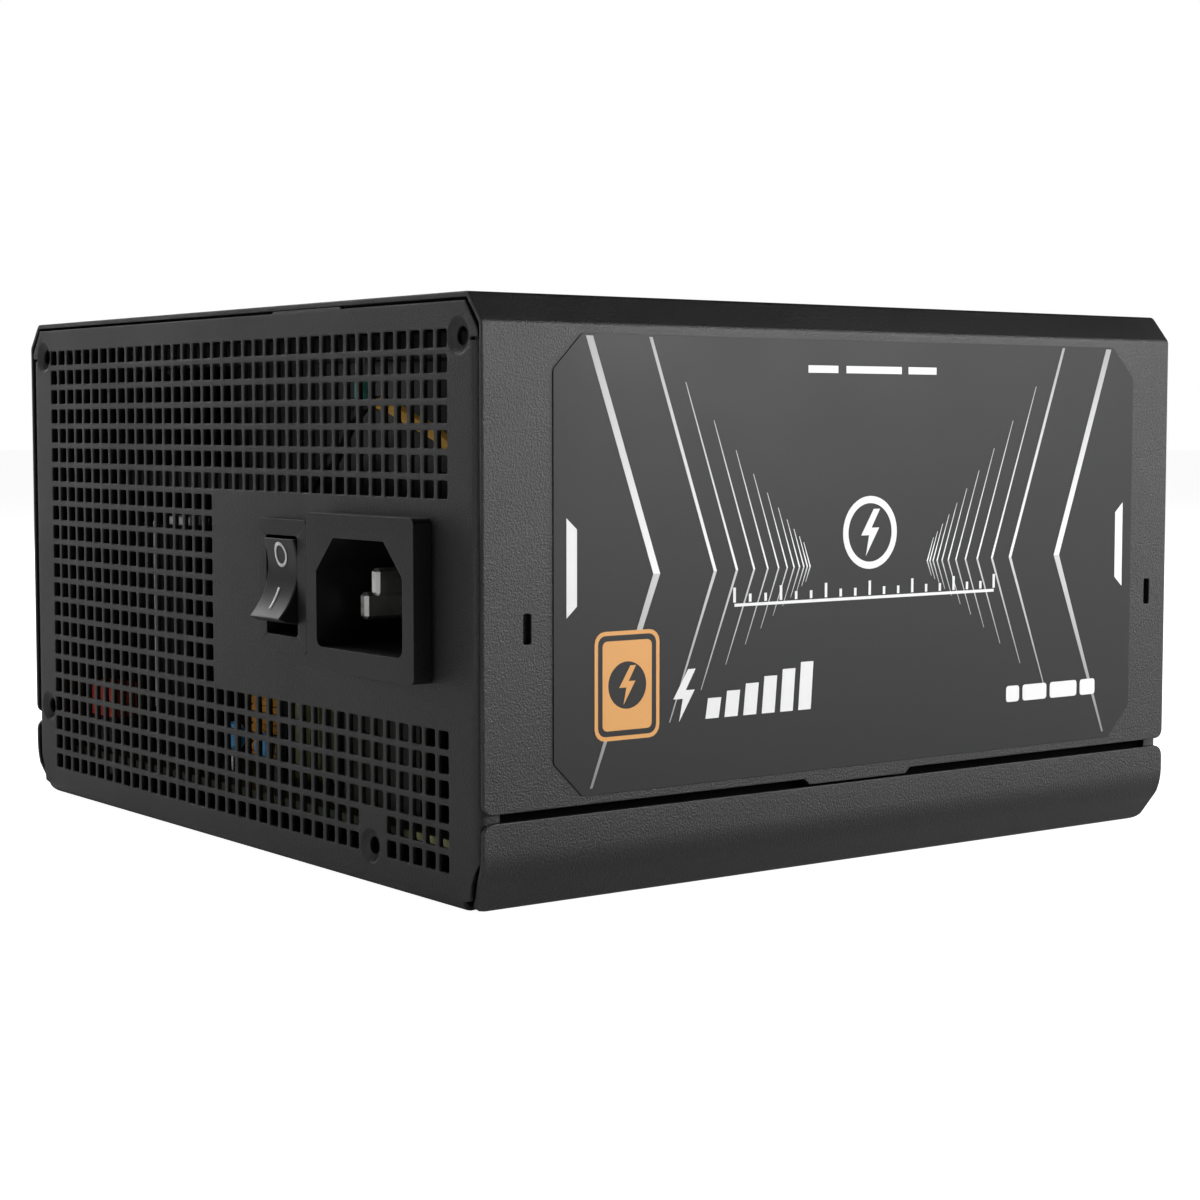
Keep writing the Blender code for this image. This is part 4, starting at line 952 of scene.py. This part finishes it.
def build_fan():
    """Moulded frame with its bearing plate, and the rotor with nine swept blades."""
    low, high, _ = corners_of("fan_frame")
    half, flange, edge = high.x, 4.0, 0.4
    plate = [pad((0, 0), 2 * half, 2 * half, 5.0, 6), circle((0, 0), FAN_BORE, 96)]
    plate += [circle(place, 2.15, 20) for place in four(FAN_EYE, FAN_EYE)]
    parts = [moved(curve_mesh(plate, flange, edge), shifted(z=level + flange / 2))
             for level in (low.z, high.z - flange)]
    outer, inner, top, floor = half - edge, FAN_BORE + 0.01, high.z - 0.6, low.z
    parts.append(lathe([(outer, top), (outer, floor + 0.6), (inner, floor + 0.6), (inner, top)], 96))
    for turn in range(4):
        strut = curve_mesh([pad((38.5, 0), 39.0, 4.0, 0.6)], 2.0, edge)
        parts.append(moved(strut, turned(20 + 90 * turn) @ shifted(z=floor + 1.3)))
    parts.append(lathe([(0, floor), (19.4, floor), (20, floor + 0.6), (20, floor + 2.5), (5, floor + 2.5),
                        (5, 73), (4.2, 73), (4.2, floor + 1.6), (0, floor + 1.6)], 64))
    piece("fan_housing", joined(*parts), FAN_PLASTIC, nodes=["fan_frame"])

    hub, wall, tip, top, foot = 20.5, 1.5, 55.5, corners_of("fan_rotor")[1].z, 60.0
    ceiling = top - wall - 0.2
    cup = lathe([(0, top - 0.35), (15.6, top - 0.35), (15.9, top)] + arc((hub - 2, top - 2), 2, 90, 0, 6)
                + [(hub, foot), (hub - wall, foot), (hub - wall, ceiling), (0, ceiling)], 96)
    blades = bmesh.new()
    count, across, along = 9, 12, 14
    for blade in range(count):
        grid = bmesh.ops.create_grid(blades, x_segments=across, y_segments=along, size=1.0)
        for vert in grid["verts"]:
            outward, share = (vert.co.x + 1) / 2, (vert.co.y + 1) / 2
            radius = hub - 0.7 + outward * (tip - hub + 0.7)
            span = math.radians(36 - 5 * outward) * (1 - 0.12 * (2 * outward - 1) ** 8)
            angle = blade * math.tau / count + math.radians(20) * outward ** 1.6 + span * (share - 0.5)
            depth = 17.0 - 3.5 * outward
            height = 70.2 + depth * (0.5 - share) - 1.6 * math.sin(math.pi * share)
            vert.co = (radius * math.cos(angle), radius * math.sin(angle), height)
    bmesh.ops.solidify(faced_out(blades), geom=blades.faces[:], thickness=1.1)
    piece("fan_impeller", joined(cup, faced_out(blades)), FAN_PLASTIC, "rotor", ["fan_rotor"])
    disc = lathe([(0, top - 0.2), (15.0, top - 0.2), (15.3, top - 0.34), (0, top - 0.34)], 72)
    piece("hub_sticker", disc, FILM, "rotor")
    ring = lathe([(13.6, top - 0.19), (13.6, top - 0.21), (12.9, top - 0.21), (12.9, top - 0.19)], 72)
    piece("hub_sticker_ring", ring, WHITE_INK, "rotor")


# ---- screws

HEAD_HEIGHTS = {"board": 1.8, "cover": 0.85, "fan": 1.1}


def cross(radius, width):
    """The outline of a cross recess."""
    half = width / 2
    quarter, points = [(radius, -half), (radius, half), (half, half)], []
    for _ in range(4):
        points += quarter
        quarter = [(-y, x) for x, y in quarter]
    return points


def build_screws():
    """Pan heads with cross recesses, on plain shanks."""
    for name in sorted(frame["nodes"]):
        if "_screw_" not in name:
            continue
        low, high, middle = corners_of(name)
        radius, height = (high.x - low.x) / 2, HEAD_HEIGHTS[name.split("_")[0]]
        turn = turned(17 * len(name) + 53 * int(name[-1]))
        foot = high.z - height
        rings = [(0.55, 0.0), (0.8, 0.08), (0.95, 0.3), (1.0, 0.62), (1.0, 1.0)]
        head = block([(circle((0, 0), radius * wide, 32), high.z - height * down) for wide, down in rings],
                     [(cross(radius * 0.5, radius * 0.17), high.z - min(height * 0.85, 1.0))])
        shank = lathe([(0, foot), (radius * 0.5, foot), (radius * 0.5, low.z + 0.6), (radius * 0.35, low.z),
                       (0, low.z)], 24)
        look = STEEL if name.startswith("board") else BLACK_STEEL
        bm = moved(joined(head, shank), turn, shifted(middle.x, middle.y))
        piece(name.replace("screw", "pan_screw"), bm, look, nodes=[name])


# ---- output sockets

SOCKET_COLUMNS = {"board_18": 9, "board_10": 5, "graphics_16": 6, "drive_1": 3, "drive_2": 3}


def build_sockets():
    """Shrouds with two rows of keyed cells, each with its pin."""
    for name in SOCKETS:
        low, high, middle = corners_of(name)
        columns = SOCKET_COLUMNS.get(name[len("socket_"):], 4)
        width, height = high.x - low.x, high.z - low.z
        pitch = (width - 1.0) / columns
        rise = (height - 1.0) / 2
        cell = min(pitch, rise) - 0.7
        pockets, pins = [], []
        for column in range(columns):
            for row in (-1, 1):
                x = -middle.x + (column - (columns - 1) / 2) * pitch
                z = middle.z + row * rise / 2
                keyed = (column + (row > 0)) % 3 != 0
                radii = [0.3, 0.3, 1.0, 1.0][::row] if keyed else 0.3
                pockets.append((pad((x, z), cell, cell, radii, 2), high.y - 9.0))
                post = box_mesh((x - 0.55, z - 0.55, high.y - 9.1), (x + 0.55, z + 0.55, high.y - 1.6))
                for vert in post.verts:
                    if vert.co.z > high.y - 2:
                        vert.co.x, vert.co.y = x + (vert.co.x - x) * 0.5, z + (vert.co.y - z) * 0.5
                pins.append(post)
        outline = pad((-middle.x, middle.z), width, height, 0.7, 3)
        bm = block([(outline, high.y), (outline, low.y)], pockets)
        piece(f"{name}_shroud", moved(bm, TO_FRONT), PLASTIC, nodes=[name], edge=0.15, angle=50)
        piece(f"{name}_pins", moved(joined(*pins), TO_FRONT), CONTACT)


# ---- what stands on the board

def winding(centre, inner, outer, low, high, wire, turns):
    """Separate turns of wire round a ring that lies flat."""
    parts = []
    for turn in range(turns):
        path = pad(((inner + outer) / 2, (low + high) / 2), outer - inner - 2 * wire,
                   high - low - 2 * wire, 2.0)
        loop = tube([(a, 0.0, b) for a, b in path], wire, cyclic=True, sides=6)
        parts.append(moved(loop, turned(360 * turn / turns), centre))
    return joined(*parts)


def build_chokes():
    """Ring chokes wound turn by turn, and the line choke on its bobbin."""
    for node, wire, turns, look in (("pfc_choke", 0.7, 40, COPPER), ("line_choke", 0.75, 20, OLIVE)):
        low, high, middle = corners_of(node)
        centre = shifted(middle.x, middle.y)
        outer = (high.x - low.x) / 2
        inner = 6.0 if outer > 10 else 3.0
        edge = 1.4 * wire
        rim, bore, top, floor = outer - edge, inner + edge, high.z - edge, low.z + edge
        core = lathe([(rim - 1, top), (rim, top - 1), (rim, floor + 1), (rim - 1, floor), (bore, floor),
                      (bore, top)])
        piece(f"{node}_core", moved(core, centre), FERRITE)
        wound = winding(centre, inner, outer, low.z, high.z, wire, turns)
        piece(f"{node}_turns", wound, look, nodes=[node])

    low, high, middle = corners_of("common_mode_choke")
    wire, size = 0.8, high - low
    path = pad((middle.x, middle.y), size.x - 2 * wire, size.y - 2 * wire, 2.2, 4)
    parts = []
    for turn in range(int((size.z - 3) / (2 * wire))):
        level = low.z + 2.4 + turn * 2 * wire
        parts.append(tube([(a, b, level) for a, b in path], wire, cyclic=True, sides=6))
    piece("common_mode_turns", joined(*parts), TAPE, nodes=["common_mode_choke"])
    bobbin = curve_mesh([pad((middle.x, middle.y), size.x - 3.4, size.y - 3.4, 1.5)], size.z - 1.0, 0.3)
    piece("common_mode_bobbin", moved(bobbin, shifted(z=middle.z)), PLASTIC)


def lying_disc(centre, radius, thickness):
    """A ceramic disc standing on its edge, seen from the rear."""
    half = [(0, thickness / 2), (radius * 0.8, thickness / 2), (radius, thickness * 0.2)]
    profile = half + [(out, -up) for out, up in half[::-1]]
    return moved(lathe(profile, 32), turned(90, "X"), shifted(*centre))


def block_piece(name, low, high, look, edge=0.3):
    piece(name, box_mesh(low, high), look, edge=edge)


def build_small_parts():
    """Small parts near the grille, the fan's plug, the heatsink with its painted shade and painted highlight
    strips, and black strips behind the seams as painted shade.
    """
    board_top = corners_of("main_board")[1].z + 0.1
    legs = []
    for number, (x, y) in enumerate(((-12.5, -61.5), (-3.5, -61.0)), 1):
        height = board_top + 8.0 - number
        piece(f"disc_capacitor_{number}", lying_disc((x, y, height), 2.4, 1.8), BLUE_DIP)
        for side in (-1.2, 1.2):
            legs.append(tube([(x + side, y, board_top), (x + side, y, height - 1.6)], 0.3, sides=6))
    piece("disc_capacitor_legs", joined(*legs), STEEL)
    block_piece("line_filter", (-63, -65, board_top), (-52, -60, board_top + 6), PLASTIC)
    block_piece("line_film_capacitor", (-62.7, -64.8, board_top + 6.1), (-52.3, -60.2, board_top + 12.4),
                RED_CASE)
    block_piece("fan_plug", (33.0, -65.2, 71.6), (35.6, -63.0, 74.6), TEAL)
    block_piece("fan_plug_latch", (33.4, -65.2, 75.4), (34.6, -64.0, 79.2), IVORY, 0.2)
    block_piece("board_edge", (47.5, -66.15, 7.1), (60.5, -66.02, 8.5), BOARD_EDGE, 0)

    low, high, middle = corners_of("heatsink_bridge")
    lip = 3.0
    profile = [(low.y, high.z), (low.y, low.z), (low.y + lip, low.z), (low.y + lip, high.z - lip),
               (high.y, high.z - lip), (high.y, high.z)]
    plate = moved(curve_mesh([profile], high.x - low.x, 0.2), TO_RIGHT, shifted(middle.x))
    # The heatsink's plate is drawn near-black, as painted shade of its faces.
    piece("bridge_plate", plate, HEATSINK_SHADE_METAL, nodes=["heatsink_bridge"])
    # Pale strips along the heatsink's top and down its side stand in for its edges catching light: painted
    # highlight.
    block_piece("bridge_top_highlight", (low.x + 10, low.y + 0.2, high.z + 0.05),
                (high.x, low.y + 4.2, high.z + 1.5), HEATSINK_EDGE_HIGHLIGHT, 0.2)
    block_piece("bridge_upright_highlight", (low.x + 7.3, low.y - 0.5, 17.0),
                (low.x + 8.3, low.y - 0.1, high.z + 0.5), HEATSINK_EDGE_HIGHLIGHT, 0.1)

    # Black strips inside the seams between cover and skirts stand in for the shade in the gaps: painted shade.
    strips = [box_mesh((side * 72.4 - 0.2, -68, 8.5), (side * 72.4 + 0.2, 68, 20.5)) for side in (-1, 1)]
    piece("seam_shade_strips", joined(*strips), SEAM_SHADE_FILM, edge=0.1)


def dress_nodes():
    """Better materials on the CAD nodes that stay as they are."""
    for row in frame["record"]["subparts"]:
        obj = frame["nodes"][row["node"]]
        obj.data.materials.clear()
        obj.data.materials.append(LOOKS[row["material_slot"]][0])


# ---- camera, floor and light

FLOOR_GLOW, WALL_GLOW = 0.07, 0.012
STUDIO_MIDDLE = Vector((0, 0, 0.045))
# name, degrees from +X towards +Y, degrees up, watts; each a metre from the middle
SOFT_BOXES = (("side_box", 18, 8, 0.5), ("front_box", 65, 8, 3.4), ("rear_low_box", 180, 8, 1.6),
              ("rear_box", 180, 30, 3.7), ("rear_high_box", 205, 55, 3.3), ("grille_box", 264, 12, 1.9))


def build_camera():
    """Looks at the rear and one side from a little below the top."""
    camera = bpy.data.cameras.new("camera")
    camera.sensor_width = 36
    camera.lens = 72.1
    camera.shift_x = 0.0007
    camera.shift_y = -0.0025
    obj = placed("camera", camera)
    obj.location = (0.3460, -0.2517, 0.0679)
    obj.rotation_euler = (math.radians(90 - 4.12), 0, math.radians(53.4))
    bpy.context.scene.camera = obj


def area_light(name, place, target, size, power):
    light = bpy.data.lights.new(name, "AREA")
    light.shape = "RECTANGLE"
    light.size, light.size_y = size
    light.energy = power
    obj = placed(name, light)
    obj.location = place
    obj.rotation_euler = (Vector(target) - Vector(place)).to_track_quat("-Z", "Y").to_euler()


def seen_or_lit(tree, target, seen, lit):
    """One strength as the camera sees it, another as it lights the object."""
    choice = tree.nodes.new("ShaderNodeMapRange")
    tree.links.new(tree.nodes.new("ShaderNodeLightPath").outputs["Is Camera Ray"], choice.inputs["Value"])
    choice.inputs["To Min"].default_value = lit
    choice.inputs["To Max"].default_value = seen
    tree.links.new(choice.outputs["Result"], target)


def build_studio():
    """A pale floor, a white backdrop that lights the object only a little, and soft boxes."""
    bm = bmesh.new()
    bmesh.ops.create_circle(bm, cap_ends=True, segments=96, radius=6.0)
    mesh = bpy.data.meshes.new("floor")
    bm.to_mesh(mesh)
    bm.free()
    look = Look("pale_floor", {"Emission Color": (1.0, 1.0, 1.0), "Specular IOR Level": 0.0})
    seen_or_lit(look.tree, look.shader.inputs["Emission Strength"], 0.95, FLOOR_GLOW)
    mesh.materials.append(look.done(look.spread(look.noise(3, 2), (0.7,) * 3, (0.74,) * 3), 0.7))
    floor = placed("floor", mesh)
    floor.location.z = -0.0002

    world = bpy.data.worlds.new("studio")
    bpy.context.scene.world = world
    world.use_nodes = True
    background = world.node_tree.nodes["Background"]
    background.inputs["Color"].default_value = (1.0, 1.0, 1.0, 1.0)
    seen_or_lit(world.node_tree, background.inputs["Strength"], 1.0, WALL_GLOW)
    bpy.context.scene.view_settings.view_transform = "Standard"

    for name, azimuth, elevation, power in SOFT_BOXES:
        turn, rise = math.radians(azimuth), math.radians(elevation)
        way = Vector((math.cos(turn) * math.cos(rise), math.sin(turn) * math.cos(rise), math.sin(rise)))
        area_light(name, STUDIO_MIDDLE + way, STUDIO_MIDDLE, (0.5, 0.5), power)
    area_light("near_box", (0.36, 0.14, 0.17), (0.075, -0.05, 0.07), (0.15, 0.15), 1.15)


build_camera()
build_studio()
build_chassis()
build_cover()
build_label("right", TO_RIGHT)
build_label("left", TO_LEFT)
build_inlet()
build_switch()
build_guard()
build_fan()
build_screws()
build_sockets()
build_chokes()
build_small_parts()
dress_nodes()
